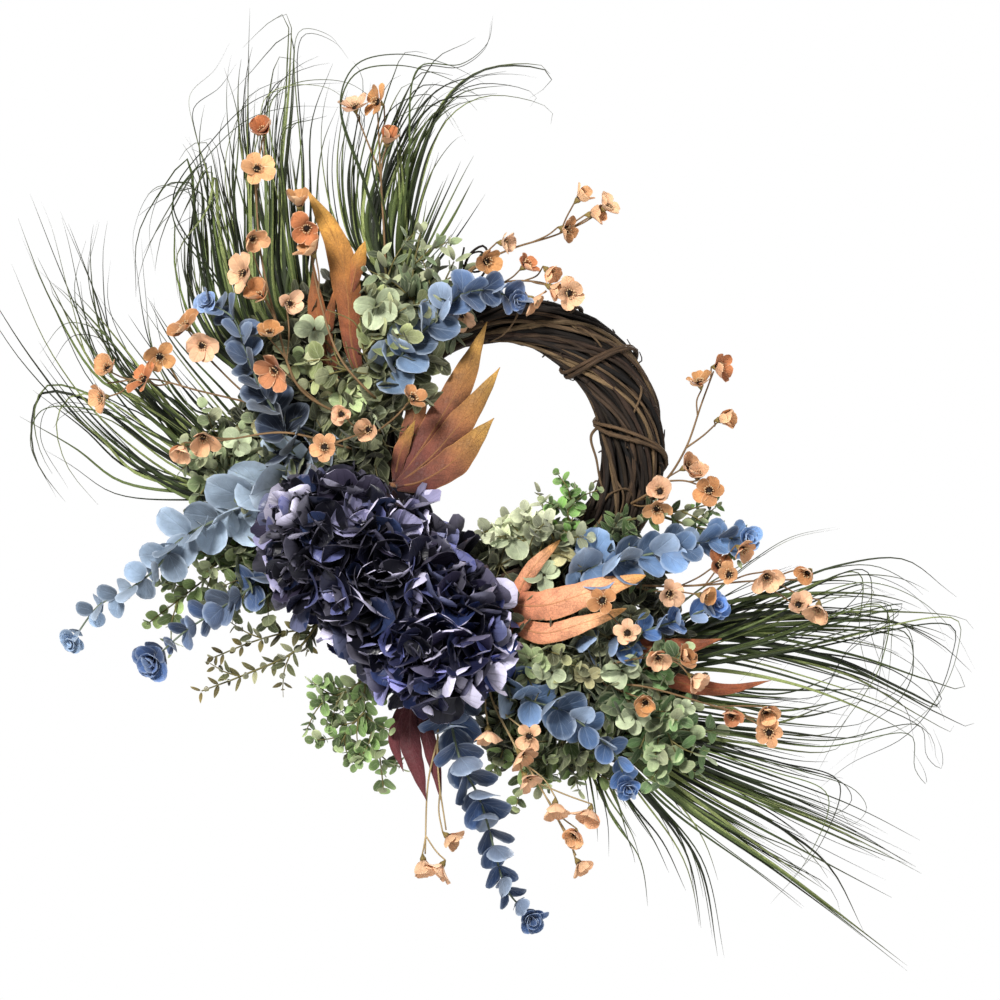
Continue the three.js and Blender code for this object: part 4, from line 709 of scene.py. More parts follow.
# Broken twigs: how many, how deep their roots are, how far they stand out, their radius and their tints.
STUB_COUNT = 90
STUB_ROOT = 5.0
STUB_REACH = (1.5, 6.0)
STUB_RADII = (0.5, 1.1)
STUB_ROWS = 6
STUB_TINTS = VINE_TINTS[:7]
LOOSE_ROWS = 40
# Loose ends and curls that stand off the ring: their points and their radius.
LOOSE_VINES = [
    ([(12, -8, 28), (20, -20, 42), (16, -26, 26), (4, -24, 10), (-10, -14, 2)], 1.4),
    ([(128, -10, -28), (142, -22, -44), (136, -26, -66), (124, -14, -84)], 1.5),
    ([(106, -4, -78), (92, -14, -92), (97, -22, -116), (104, -20, -146), (122, -12, -162)], 1.7),
    ([(100, -6, -168), (112, -26, -150), (128, -28, -146), (134, -20, -160), (122, -16, -172),
      (108, -20, -164)], 1.2),
    ([(112, -20, -130), (124, -28, -152), (118, -26, -176), (104, -16, -186)], 1.3),
    ([(70, -14, 20), (88, -24, 12), (104, -20, -6), (108, -8, -24)], 1.4),
    ([(-44, -6, 22), (-40, -22, 58), (-30, -30, 90), (-16, -32, 98), (-12, -30, 82), (-24, -28, 72),
      (-38, -26, 80), (-36, -28, 97)], 1.6),
    ([(-38, -8, 22), (-30, -24, 52), (-14, -30, 76), (-18, -30, 92), (-32, -28, 88), (-34, -26, 70)], 1.5),
]


def knots(count, number):
    """A thickening at a few places of a strand."""
    swell = np.ones(count)
    for k in range(KNOTS):
        place = int(shake(number, 20 + k) * count)
        swell[place] += 0.3
        if place + 1 < count:
            swell[place + 1] += 0.15
    return swell


def wave(turn, crests, number, k):
    """A wave with that many crests a lap, which begins at a fixed shake."""
    return np.sin(TURN * (crests * turn + shake(number, k)))


def add_strand(piece, number, angle, depth, radius):
    laps = mix(1.0, 1.12, shake(number, 4))
    count = int(STRAND_POINTS * laps)
    share = np.linspace(0, 1, count)
    turn = shake(number, 5) + laps * share
    wander = SLOW_WANDER * wave(turn, 2, number, 6) + QUICK_WANDER * wave(turn, 5, number, 7)
    around = angle + TURN * RING_TWISTS * turn + wander
    near_end = np.minimum(share, 1 - share) / END_SHARE
    sink = END_SINK * np.clip(1 - near_end, 0, 1)
    heave = HEAVE * wave(turn, 3, number, 8) + HEAVE
    path = on_ring(turn, around, depth + radius + sink + heave)
    slim = 1 + THICKNESS_WAVE * wave(turn, 4, number, 9)
    tint = VINE_TINTS[number % len(VINE_TINTS)] * mix(*STRAND_LIGHTNESS, shake(number, 10))
    # Painted shade: the deeper a strand lies, the darker its tint.
    tint = tint * max(0.3, 1 - DEPTH_PAINTED_SHADE * depth)
    piece.tube(path, radius * slim * knots(count, number), tint)


def add_stubs(piece):
    """Short broken twigs that stand off the strands."""
    for i in range(STUB_COUNT):
        turn = np.array([shake(i, 101)])
        angle = np.array([shake(i, 102) * TURN])
        root = on_ring(turn, angle, STUB_ROOT)[0]
        out = on_ring(turn, angle, -mix(*STUB_REACH, shake(i, 103)))[0]
        along = on_ring(turn + 0.004, angle, STUB_ROOT)[0] - root
        tip = out + along * swing(i, 104, 2.5)
        path = smooth_route([root, mix(root, out, 0.7), tip], STUB_ROWS)
        radii = mix(*STUB_RADII, shake(i, 105)) * np.linspace(1.2, 0.7, STUB_ROWS)
        piece.tube(path, radii, STUB_TINTS[i % len(STUB_TINTS)], sides=5)


def build_ring():
    piece = Piece("vine_ring")
    number = 0
    for count, depth, thin, thick in STRAND_LAYERS:
        for k in range(count):
            angle = TURN * k / count + swing(number, 2, 0.08)
            add_strand(piece, number, angle, depth, mix(thin, thick, shake(number, 3)))
            number += 1
    add_stubs(piece)
    for route, radius in LOOSE_VINES:
        path = smooth_route(route, LOOSE_ROWS)
        tint = VINE_TINTS[2] if route[0][0] < 0 else VINE_TINTS[4]
        piece.tube(path, radius * np.linspace(1, 0.6, LOOSE_ROWS), tint)
    return piece.build([VINE])


build_ring()

# %% [markdown]
# ## Binding vines
#
# Two lighter, thinner vines are wound round the ring and hold its strands together. Each is a pair of
# vines side by side, on the route of its node.

# %% Binding vines
BINDING_ROWS = 110
# The two vines of a pair lie this share of a turn apart.
PAIR_GAP = 0.006
# Both ends dive into the ring: from this share of the way from the middle, over this share, this deep.
DIVE_FROM, DIVE_RUN, DIVE_DEPTH = 0.93, 0.07, 5
# Each: its node, where it begins and ends round the ring and round the tube, its lift, radius and tint.
BINDING_VINES = [
    ("binding_vine_upper", (0.085, 0.175), (-1.2, TURN + 0.6), 2.4, 2.6, "4c3a2a"),
    ("binding_vine_lower", (-0.03, 0.06), (-0.9, TURN * 0.72), 1.6, 2.4, "5e4a36"),
]


def build_binding(name, turns, angles, lift, radius, tint):
    piece = Piece(name)
    share = np.linspace(0, 1, BINDING_ROWS)
    middle = np.abs(2 * share - 1)
    for k in (0, 1):
        turn = mix(*turns, share) + (k - 0.5) * PAIR_GAP + 0.002 * np.sin(9 * share + 3 * k)
        angle = mix(*angles, share) + 0.06 * np.sin(14 * share + 2 * k)
        dive = DIVE_DEPTH * np.clip(middle - DIVE_FROM, 0, 1) / DIVE_RUN
        path = on_ring(turn, angle, -lift + dive)
        slim = radius * (1 - 0.3 * middle) * (1 - 0.2 * k) * knots(len(share), 60 + k)
        piece.tube(path, slim, linear(tint) * mix(0.85, 1.1, k), sides=7)
    return piece.build([VINE])


for binding in BINDING_VINES:
    build_binding(*binding)

# %% [markdown]
# ## Hydrangea heads
#
# Each head is a dome of florets with four broad petals, cupped and tilted every way, so that pale rims and
# backs flash between nearly black faces. Behind the outer florets lies a darker layer, painted shade, and
# a lumpy dark core, also painted shade, closes what little shows between them. The petals are
# brighter violet toward the lower right.

# %% Hydrangea layout
# Each head: its middle, its half size, where its stub meets the ring, and the number of its first floret.
HYDRANGEAS = {
    "hydrangea_upper": {"centre": (-165, -68, -202), "half": (62, 46, 62), "root": (-112, -10, -170),
                        "first": 0},
    "hydrangea_lower": {"centre": (-65, -68, -292), "half": (65, 47, 65), "root": (-44, -10, -226),
                        "first": 500},
}
# Each layer: florets, share of the head's half size, how far forward it begins and ends, and its lightness.
# The inner layer's lower lightness is painted shade.
FLORET_LAYERS = [(50, 0.95, 0.99, -0.5, 1.0), (36, 0.8, 0.95, -0.6, 0.4)]
# Times pi, this is the turn from one floret to the next.
GOLDEN_SHARE = 3 - math.sqrt(5)
# Florets are seated this deep, lean this much, and keep to their own side of the seam but for this much.
FLORET_SINK = 8
FLORET_LEAN = 0.75
SEAM_OVERLAP = 2
# Florets between the two heads, round the line that joins their middles, so that they read as one.
SEAM_FLORETS = 24
# Painted shade: the florets of the seam and of the ring's edge are a little darker.
SEAM_LIGHT = 0.9
# Florets of the upper head that hang over the ring's inner edge.
EDGE_FLORETS = [(-96, -56, -166), (-84, -58, -180), (-70, -58, -192), (-56, -58, -206), (-40, -56, -216)]
# The chance of each tint.
PETAL_TINTS = [
    (0.40, linear("0e0e16")), (0.19, linear("1a1b2c")), (0.11, linear("2a2636")),
    (0.12, linear("26304e")), (0.10, linear("4c5078")), (0.08, linear("8684a4")),
]
PETALS = 4
PETAL_OUTLINE = (0.62, 0.42)
# From least to most: how far petals rise, their length, their width as a share of it, and their cup.
PETAL_RISES = (0.05, 0.75)
PETAL_LENGTHS = (31, 43)
PETAL_SHARES = (0.94, 1.16)
PETAL_CUPS = (0.15, 0.65)
# Painted shade and light along a petal: darker at its base, deep in the head, lighter toward its tip.
PETAL_SHADES = (0.45, 1.7)
# Some petals have a pale back, the others one that is nearly like their front.
PALE_BACK = linear("c4c0d8")
PALE_SHARES = (0.1, 0.9)
PALE_ABOVE = 0.7
# Toward the lower right the petals grow more violet: where that begins, over what length, and how.
VIOLET_FROM, VIOLET_RUN = 160, 200
VIOLET = np.array([1.1, 1.2, 1.9])
CORE_SHARE = 0.72
CORE_ROWS, CORE_COLUMNS = 16, 24


def petal_tint(chance):
    for share, tint in PETAL_TINTS:
        chance -= share
        if chance <= 0:
            return tint
    return PETAL_TINTS[0][1]


def add_floret(piece, place, normal, number, light):
    across, over = square_to(normal)
    spin = shake(number, 1) * TURN
    rise = mix(*PETAL_RISES, shake(number, 2))
    size = mix(*PETAL_LENGTHS, shake(number, 3))
    violet = np.clip((place[0] - place[2] - VIOLET_FROM) / VIOLET_RUN, 0, 1)
    run = shades(*PETAL_SHADES)
    for k in range(PETALS):
        mark = number * PETALS + k
        angle = spin + k * TURN / PETALS + swing(mark, 4, 0.2)
        _, axis, face = raised(across, over, normal, angle, rise + swing(mark, 5, 0.3))
        face = turned(face, axis, swing(mark, 6, 0.7))
        length = size * mix(0.85, 1.1, shake(mark, 7))
        width = length * mix(*PETAL_SHARES, shake(mark, 8))
        cup, curl = mix(*PETAL_CUPS, shake(mark, 9)), swing(mark, 10, 0.8)
        form = leaf_form(place, axis, face, length, width, PETAL_OUTLINE, cup, curl, 0.05,
                         WAVE_START * shake(mark, 11))
        tint = petal_tint(mix(shake(mark, 12), 1.0, 0.3 * violet)) * light
        tint = mix(tint, tint * VIOLET, violet)
        back = mix(tint, PALE_BACK * light, PALE_SHARES[shake(mark, 13) > PALE_ABOVE])
        piece.sheet(form, tint * run, back * run, LEAF_THICKNESS)


def floret_lean(number):
    return np.array([swing(number, 15), swing(number, 16, 0.6), swing(number, 17)]) * FLORET_LEAN


def add_core(piece, centre, half):
    """A lumpy near-black middle, painted shade, which closes what shows between the petals."""
    rise = np.linspace(-1.5, 1.5, CORE_ROWS)[:, None]
    angle = (np.arange(CORE_COLUMNS) * TURN / CORE_COLUMNS)[None, :]
    sphere = np.stack(np.broadcast_arrays(np.cos(rise) * np.cos(angle), np.sin(rise) + 0 * angle,
                                          np.cos(rise) * np.sin(angle)), axis=-1)
    lumps = 1 + 0.05 * np.sin(9 * sphere[..., :1] + 4) * np.sin(8 * sphere[..., 2:] + 1)
    piece.grid(centre + sphere * half * CORE_SHARE * lumps, linear("0e0d18"), closed=True)


def add_dome(piece, centre, half, away, reach, number):
    """The layers of florets over a head, up to its seam with the other; gives the last number used."""
    for count, share, front, rear, light in FLORET_LAYERS:
        for i in range(count):
            number += 1
            forward = mix(front, rear, (i + 0.5) / count)
            turn = i * math.pi * GOLDEN_SHARE + 0.4 + share
            rim = math.sqrt(1 - forward * forward)
            direction = np.array([rim * math.cos(turn), -forward, rim * math.sin(turn)])
            place = centre + direction * half * (share + swing(number, 14, 0.05))
            if (place - centre) @ away > reach + SEAM_OVERLAP:
                continue
            normal = unit(direction / half)
            add_floret(piece, place - normal * FLORET_SINK, unit(normal + floret_lean(number)), number, light)
    return number


def add_seam(piece, centre, half, away, reach, number):
    over = np.cross(away, TO_VIEWER)
    for i in range(SEAM_FLORETS):
        number += 1
        along = mix(0.25, 0.5, shake(number, 18)) * 2 * reach
        outward = unit(between(over, TO_VIEWER, TURN * i / SEAM_FLORETS))
        if outward @ TO_VIEWER < -0.3:
            continue
        place = centre + away * along + outward * half * 0.9
        facing = unit(outward + floret_lean(number))
        add_floret(piece, place - outward * FLORET_SINK, facing, number, SEAM_LIGHT)
    return number


def build_hydrangea(name, head):
    piece = Piece(name)
    centre, half = np.array(head["centre"], float), np.array(head["half"], float)
    other = next(one["centre"] for one in HYDRANGEAS.values() if one is not head)
    away = np.array(other, float) - centre
    reach = np.linalg.norm(away) / 2
    away = unit(away)
    add_core(piece, centre, half)
    number = add_dome(piece, centre, half, away, reach, head["first"])
    number = add_seam(piece, centre, half, away, reach, number)
    for edge in EDGE_FLORETS if name == "hydrangea_upper" else []:
        number += 1
        outward = unit(RING_CENTRE - edge + TO_VIEWER * 60)
        lean = np.array([swing(number, 15), 0, swing(number, 17)])
        add_floret(piece, np.array(edge, float), unit(outward + lean), number, SEAM_LIGHT)
    stub = smooth_route([centre, mix(centre, np.array(head["root"], float), 0.5), head["root"]], 8)
    piece.tube(stub, 4.5, linear("3a3328"), sides=8, kind=STEM)
    return piece.build([HYDRANGEA, TWIG])


for name, head in HYDRANGEAS.items():
    build_hydrangea(name, head)

# %% [markdown]
# ## Autumn leaves
#
# Six large leaves of printed fabric, each with long pointed lobes that part from one stalk. A lobe is a
# sheet along its own midrib, folded a little along it and wavy at its edge. The tint runs from rust at
# the stalk to ochre at the tips, and the net of veins comes from the material.

# %% Autumn leaf layout
AUTUMN_LEAVES = {
    "autumn_leaf_top": {
        "stalk": [(-124, -6, -70), (-130, -26, -64), (-136, -32, -50)],
        "lobes": [
            (31, [(-132, -30, -62), (-149, -34, 0), (-153, -37, 50), (-164, -38, 100), (-194, -36, 155)]),
            (17, [(-152, -35, 40), (-144, -38, 75), (-135, -42, 103)]),
            (16, [(-142, -33, -10), (-133, -35, 25), (-127, -38, 55)]),
        ],
    },
    "autumn_leaf_brown": {
        "stalk": [(-126, -4, -84), (-150, -20, -70), (-168, -26, -45)],
        "lobes": [
            (27, [(-160, -24, -58), (-176, -28, -10), (-185, -30, 40), (-187, -30, 80)]),
            (13, [(-174, -28, -14), (-172, -31, 20), (-165, -34, 58)]),
        ],
    },
    "autumn_leaf_inner": {
        "stalk": [(-118, -8, -140), (-110, -30, -142), (-98, -38, -142)],
        "lobes": [
            (28, [(-104, -37, -142), (-72, -36, -95), (-42, -35, -45), (-22, -34, 0), (-13, -33, 22)]),
            (26, [(-104, -38, -143), (-70, -43, -115), (-36, -44, -75), (-14, -42, -45), (0, -40, -24)]),
            (29, [(-104, -39, -144), (-78, -49, -138), (-45, -53, -117), (-20, -52, -90), (-6, -50, -75)]),
            (20, [(-104, -36, -140), (-90, -31, -90), (-80, -31, -50), (-70, -31, -17)]),
            (14, [(-106, -37, -138), (-100, -40, -110), (-85, -42, -77)]),
        ],
    },
    "autumn_leaf_right": {
        "stalk": [(10, -6, -236), (14, -26, -250), (20, -36, -264)],
        "lobes": [
            (32, [(12, -33, -262), (45, -58, -262), (100, -70, -245), (145, -74, -232)]),
            (26, [(12, -36, -282), (44, -54, -290), (88, -66, -278), (126, -68, -265)]),
            (17, [(14, -32, -258), (32, -44, -226), (60, -52, -197)]),
        ],
    },
    "autumn_leaf_right_brown": {
        "stalk": [(68, -6, -213), (92, -22, -255), (108, -28, -296)],
        "lobes": [
            (18, [(104, -27, -288), (145, -34, -304), (185, -40, -304), (222, -44, -296)]),
            (15, [(106, -28, -290), (150, -30, -328), (220, -34, -347), (272, -36, -338)]),
        ],
    },
    "autumn_leaf_bottom": {
        "stalk": [(-62, -5, -219), (-78, -18, -290), (-90, -22, -350)],
        "lobes": [
            (16, [(-88, -22, -345), (-106, -28, -395), (-97, -32, -430)]),
            (24, [(-88, -22, -345), (-90, -30, -400), (-82, -36, -430), (-74, -38, -458)]),
            (18, [(-88, -22, -345), (-74, -26, -390), (-64, -30, -430), (-59, -34, -460)]),
        ],
    },
}
# Each leaf's tints from its stalk to its tips, and the material.
AUTUMN_TINTS = {
    "autumn_leaf_top": (["562a20", "743e2e", "8c542e", "b07c38", "c89a48"], AUTUMN),
    "autumn_leaf_brown": (["5a2e1e", "7c4628", "9a6034"], AUTUMN),
    "autumn_leaf_inner": (["4e2824", "64342c", "784832", "946a36", "b08a42"], AUTUMN),
    "autumn_leaf_right": (["b0664a", "dc9672", "e6a67e", "d8a058"], AUTUMN),
    "autumn_leaf_right_brown": (["6a3224", "7c4028", "8a4a2c"], AUTUMN),
    "autumn_leaf_bottom": (["3a1418", "4a1a20", "5c2428"], BURGUNDY),
}
LOBE_ROWS = 36
LOBE_COLUMNS = 13
STALK_ROWS = 16
# A lobe is thicker than a leaf, and begins this share of the way into its profile.
LOBE_THICKNESS = 0.9
LOBE_START = 0.12
# The waves of a lobe's edge: their depth as a share of its half width, and how fast they run.
EDGE_WAVES = ((0.04, 19), (0.02, 41))
# How deep a lobe is folded, rippled and creased.
LOBE_FOLD, LOBE_RIPPLE, LOBE_CREASE = -0.32, 0.10, 0.6
# How much broader a leaf's lobes are than its solid's; below 1 they are narrower.
LOBE_WIDENING = {"autumn_leaf_top": 0.9, "autumn_leaf_inner": 1.06, "autumn_leaf_right": 0.95,
                 "autumn_leaf_bottom": 0.85, "autumn_leaf_brown": 0.8}
USUAL_WIDENING = 1.12
# The lower the power, the nearer to the stalk a lobe is widest.
LOBE_POWERS = {"autumn_leaf_right": 0.72, "autumn_leaf_top": 1.6}
USUAL_POWER = 1.1
# Below 1, a lobe keeps its width for longer.
LOBE_FULLNESS = {"autumn_leaf_right": 0.62}
# Lobes that are slimmer still, by their place in the leaf's list.
SLIM_LOBES = {("autumn_leaf_right", 1): 0.85}


def lobe_form(route, width, power, fullness, number):
    """The points of one lobe, folded along its midrib, with a slightly wavy edge."""
    path = smooth_route(route, LOBE_ROWS)
    _, side, front = frames(path)
    t = np.linspace(0, 1, LOBE_ROWS)
    profile = np.clip(np.sin(np.pi * mix(LOBE_START, 1.0, t) ** power), 0, 1) ** fullness
    half = width / 2 * np.maximum(LEAST_WIDTH, profile)
    broad, fine = (depth * np.sin(rate * t + 5 * shake(number, k))
                   for k, (depth, rate) in enumerate(EDGE_WAVES, start=1))
    half *= 1 + broad + fine
    s = np.linspace(-1, 1, LOBE_COLUMNS)
    across = half[:, None] * s[None, :]
    out = np.abs(s)
    fold = LOBE_FOLD * half[:, None] * out[None, :] ** 1.4
    waves = np.sin(17 * t[:, None] + 2.2 * s[None, :] + WAVE_START * shake(number, 3))
    ripple = LOBE_RIPPLE * half[:, None] * waves * out ** 2
    crease = LOBE_CREASE * np.sin(60 * t[:, None] - 6 * out[None, :]) * out * (1 - out)
    return (path[:, None] + across[..., None] * side[:, None]
            + (fold + ripple + crease)[..., None] * front[:, None])


def run_of_tints(codes, count):
    """count tints that run evenly through the given ones."""
    stops = np.array(palette(*codes))
    places = np.linspace(0, len(stops) - 1, count)
    return np.stack([np.interp(places, np.arange(len(stops)), stops[:, k]) for k in range(3)], axis=1)


def build_autumn_leaf(name, leaf):
    codes, material = AUTUMN_TINTS[name]
    piece = Piece(name)
    stalk = smooth_route(leaf["stalk"], STALK_ROWS)
    tints = run_of_tints(codes, LOBE_ROWS)
    piece.stem(stalk, 2.4, 3.0, tints[0], sides=8, kind=LEAF)
    edge = np.abs(np.linspace(-1, 1, LOBE_COLUMNS))[None, :, None]
    for k, (width, route) in enumerate(leaf["lobes"]):
        wide = width * LOBE_WIDENING.get(name, USUAL_WIDENING) * SLIM_LOBES.get((name, k), 1.0)
        power, fullness = LOBE_POWERS.get(name, USUAL_POWER), LOBE_FULLNESS.get(name, 1.0)
        form = lobe_form(route, wide, power, fullness, 7 * k + len(name))
        front = tints[:, None] * mix(1.0, 1.15, shake(k, len(name))) * (1 - 0.12 * edge ** 2)
        back = mix(front, linear("c29a78"), 0.3)
        piece.sheet(form, front, back, LOBE_THICKNESS)
        midrib = smooth_route(route, LOBE_ROWS)
        piece.tube(midrib, np.linspace(1.5, 0.3, LOBE_ROWS), tints * 0.8, flat=0.8)
    return piece.build([material])


for name, leaf in AUTUMN_LEAVES.items():
    build_autumn_leaf(name, leaf)

# %% [markdown]
# ## Eucalyptus
#
# A eucalyptus stem carries round leaves in pairs, each pair a quarter turn from the last, large near the
# ring and small at the tip, where the smallest close into a rosette. The leaves show their faces to the
# viewer here and there, and their edges elsewhere; the dusty blue differs from spray to spray.

# %% Blue spray layout
BLUE_SPRAYS = {
    "blue_spray_left": {"stem": [(-123, -6, -126), (-165, -16, -132), (-235, -34, -147), (-275, -48, -172),
        (-320, -56, -197), (-345, -60, -227), (-372, -60, -247), (-400, -58, -262), (-427, -54, -297)],
        "pairs": 9, "size": (40, 11), "start": 0.3},
    "blue_spray_lower_left": {"stem": [(-117, -5, -161), (-160, -14, -195), (-230, -30, -232),
        (-260, -44, -252), (-285, -50, -269), (-313, -54, -287), (-345, -56, -315)], "pairs": 7,
        "size": (31, 17), "start": 0.48},
    "blue_spray_upper_left": {"stem": [(-130, -6, -84), (-165, -24, -100), (-206, -42, -110),
        (-217, -50, -82), (-238, -56, -47), (-255, -60, -7), (-265, -60, 23), (-290, -58, 40)], "pairs": 7,
        "size": (34, 18), "start": 0.4},
    "blue_spray_top": {"stem": [(-104, -6, -24), (-110, -34, -27), (-92, -52, -4), (-60, -58, 28),
        (-35, -60, 50), (-5, -58, 51), (15, -52, 43)], "pairs": 7, "size": (31, 17), "start": 0.24},
    "blue_spray_right_upper": {"stem": [(62, -6, -222), (76, -34, -228), (112, -52, -220), (145, -58, -212),
        (180, -60, -205), (215, -60, -196), (245, -56, -195)], "pairs": 7, "size": (30, 15), "start": 0.2},
    "blue_spray_right_middle": {"stem": [(42, -6, -229), (62, -22, -268), (100, -34, -302),
        (155, -42, -285), (185, -46, -275), (215, -46, -263)], "pairs": 6, "size": (27, 15), "start": 0.5},
    "blue_spray_right_lower": {"stem": [(-3, -6, -232), (-4, -18, -280), (2, -32, -335), (30, -46, -357),
        (60, -54, -367), (90, -58, -387), (115, -58, -412), (127, -54, -442)], "pairs": 7,
        "size": (31, 17), "start": 0.42},
    "blue_spray_bottom": {"stem": [(-31, -6, -230), (-42, -17, -300), (-49, -28, -375), (-38, -46, -422),
        (-22, -52, -452), (-12, -54, -482), (-3, -54, -517), (7, -52, -547), (30, -50, -574)], "pairs": 9,
        "size": (33, 14), "start": 0.36},
}
# Each spray's front tint near the ring and at its tip.
BLUE_TINTS = {
    "blue_spray_left": ("b4c4d2", "849cba"),
    "blue_spray_lower_left": ("303e54", "46608f"),
    "blue_spray_upper_left": ("1a2130", "7890b8"),
    "blue_spray_top": ("6a8098", "4c6490"),
    "blue_spray_right_upper": ("6c86a8", "6484b0"),
    "blue_spray_right_middle": ("44648c", "4d6fa8"),
    "blue_spray_right_lower": ("7f98b2", "4c70a8"),
    "blue_spray_bottom": ("3c5680", "38527e"),
}
# How much the leaves of a spray look at the viewer and how much larger they are than usual.
BLUE_WAYS = {
    "blue_spray_right_upper": (0.68, 1.18),
    "blue_spray_right_lower": (0.6, 1.1),
    "blue_spray_left": (0.66, 1.25),
    "blue_spray_upper_left": (0.55, 1.05),
    "blue_spray_top": (0.55, 1.08),
    "blue_spray_bottom": (0.45, 1.18),
}
USUAL_BLUE_WAY = (0.45, 1.0)
DARK_SPRAYS = ("blue_spray_lower_left", "blue_spray_upper_left")
# Above 1, a spray keeps its first tint for longer.
LATE_TINTS = {"blue_spray_upper_left": 3.5}
WIDE_ROSETTES = {"blue_spray_lower_left": 1.3, "blue_spray_top": 0.7, "blue_spray_upper_left": 0.7,
                 "blue_spray_right_lower": 0.8, "blue_spray_right_upper": 0.8}
# The small green leaves keep off these parts of the large and the blue leaves: least x, most x, least z,
# most z, and the depth in front of which they keep off.
KEPT_FREE = [(-182, -136, -30, 95, -26), (-118, -58, -166, -62, -26), (-4, 62, -252, -196, -30),
             (62, 110, -240, -205, -30), (20, 52, -375, -340, -30)]
# A leaf is darker at its base, in the shade of the others, than at its tip.
LEAF_SHADES = (0.42, 1.2)
# The least and most lightness of a leaf.
GREEN_LIGHTNESS, BLUE_LIGHTNESS = (0.2, 1.45), (0.38, 1.35)
# A share of the leaves is nearer to the spray's pale tint.
PALER_ABOVE = 0.82
LEAF_WAVE = 0.03
ROUND = (0.5, 0.5)
PAIR_FACTOR = 1.8
STEM_BEHIND = np.array([0.0, 2.5, 0.0])
BLUE_WIDENING = 1.12
EARLIER_START = 0.22
BLUE_ROWS = 90
BLUE_CUP = 0.22
STEM_COLOUR = linear("5e6a58")
ROSETTE_LEAVES = 13
# Painted shade: a rosette leaf is darker at its base than at its tip.
ROSETTE_SHADES = (0.5, 1.2)


def hides_autumn(place):
    x, y, z = place
    return any(x0 < x < x1 and z0 < z < z1 and y < depth for x0, x1, z0, z1, depth in KEPT_FREE)


def add_leaf_pairs(piece, path, start, pairs, size, outline, share, tints, number, facing, cup,
                   grid=LEAF_GRID):
    """Leaf pairs from share start of the path to its tip, each pair a quarter turn from the last."""
    tangent, side, front = frames(path)
    green = piece.node.startswith("green")
    lightness = GREEN_LIGHTNESS if green else BLUE_LIGHTNESS
    late = LATE_TINTS.get(piece.node, 1.0)
    run = shades(*LEAF_SHADES, grid[0])
    for i in range(pairs):
        t = mix(start, 0.99, (i + 0.5 * shake(number + i, 21)) / max(pairs - 1, 1))
        at = min(int(t * (len(path) - 1)), len(path) - 1)
        scale = mix(size[0], size[1], i / max(pairs - 1, 1)) * mix(0.88, 1.12, shake(number + i, 22))
        for k in (0, 1):
            mark = number + 2 * i + k
            turn = i * TURN / 4 + k * math.pi + swing(mark, 23, 0.35)
            way = unit(between(side[at], front[at], turn))
            lift = mix(0.35, 0.95, shake(mark, 24))
            axis = between(way, tangent[at], lift)
            face = between(tangent[at], -way, lift)
            face = face * (1 - facing) + TO_VIEWER * facing
            face = face + np.array([swing(mark, 25, 0.3), 0.0, swing(mark, 26, 0.3)])
            length = scale * mix(0.9, 1.08, shake(mark, 27))
            if green and hides_autumn(path[at] + axis * length * 0.6):
                continue
            form = leaf_form(path[at] + axis * 1.2, axis, face, length, length * share, outline, cup,
                             swing(mark, 28, 0.35) + 0.1, LEAF_WAVE, WAVE_START * shake(mark, 29), grid)
            tint = mix(tints[0], tints[1], t ** late) * mix(*lightness, shake(mark, 30))
            face_tint = mix(tint, tints[2], 0.5) if shake(mark, 33) > PALER_ABOVE else tint
            piece.sheet(form, face_tint * run, mix(tint, tints[2], 0.4) * run, LEAF_THICKNESS)


def add_rosette(piece, path, size, outline, tints, number):
    """Small cupped leaves that close the tip like a little rose, turned to the viewer."""
    tangent = frames(path)[0]
    normal = unit(tangent[-1] * 0.5 + TO_VIEWER * 0.9)
    across, over = square_to(normal)
    run = shades(*ROSETTE_SHADES)
    for k in range(ROSETTE_LEAVES):
        inner = k // 5
        mark = number + k
        angle = k * TURN / 4.6 + swing(mark, 31, 0.3)
        lift = mix(0.15, 0.5, shake(mark, 32)) + 0.4 * inner
        _, axis, face = raised(across, over, normal, angle, lift)
        length = size * mix(0.8, 1.1, shake(mark, 35)) * (1 - 0.22 * inner)
        form = leaf_form(path[-1] + normal * 1.5 * inner, axis, face, length, length, outline, 0.35, -0.2)
        tint = tints[1] * mix(0.8, 1.5, shake(mark, 34))
        piece.sheet(form, tint * run, mix(tint, tints[2], 0.5) * run, LEAF_THICKNESS)


def build_blue_spray(name, spray, number):
    piece = Piece(name)
    path = smooth_route(spray["stem"], BLUE_ROWS)
    tints = palette(*BLUE_TINTS[name])
    tints.append(mix(linear("b9c9dc"), tints[0], 0.7 if name in DARK_SPRAYS else 0.15))
    piece.stem(path + STEM_BEHIND, 1.8, 0.9, STEM_COLOUR, sides=7)
    pairs = math.ceil(spray["pairs"] * PAIR_FACTOR)
    start = max(0.12, spray["start"] - EARLIER_START)
    pairs += round(pairs * EARLIER_START)
    facing, larger = BLUE_WAYS.get(name, USUAL_BLUE_WAY)
    size = [BLUE_WIDENING * larger * length for length in spray["size"]]
    add_leaf_pairs(piece, path, start, pairs, size, ROUND, 1.0, tints, number, facing, BLUE_CUP)
    add_rosette(piece, path, size[1] * WIDE_ROSETTES.get(name, 1.0), ROUND, tints, number)
    return piece.build([BLUE, TWIG])


for k, (name, spray) in enumerate(BLUE_SPRAYS.items()):
    build_blue_spray(name, spray, 1000 + 100 * k)

# %% [markdown]
# ## Green sprays
#
# Small-leaved stems fill the gaps between the large pieces: sage, pale olive and a few yellow-green ones.
# Each has side twigs that leave it by turns left and right, with smaller leaves.

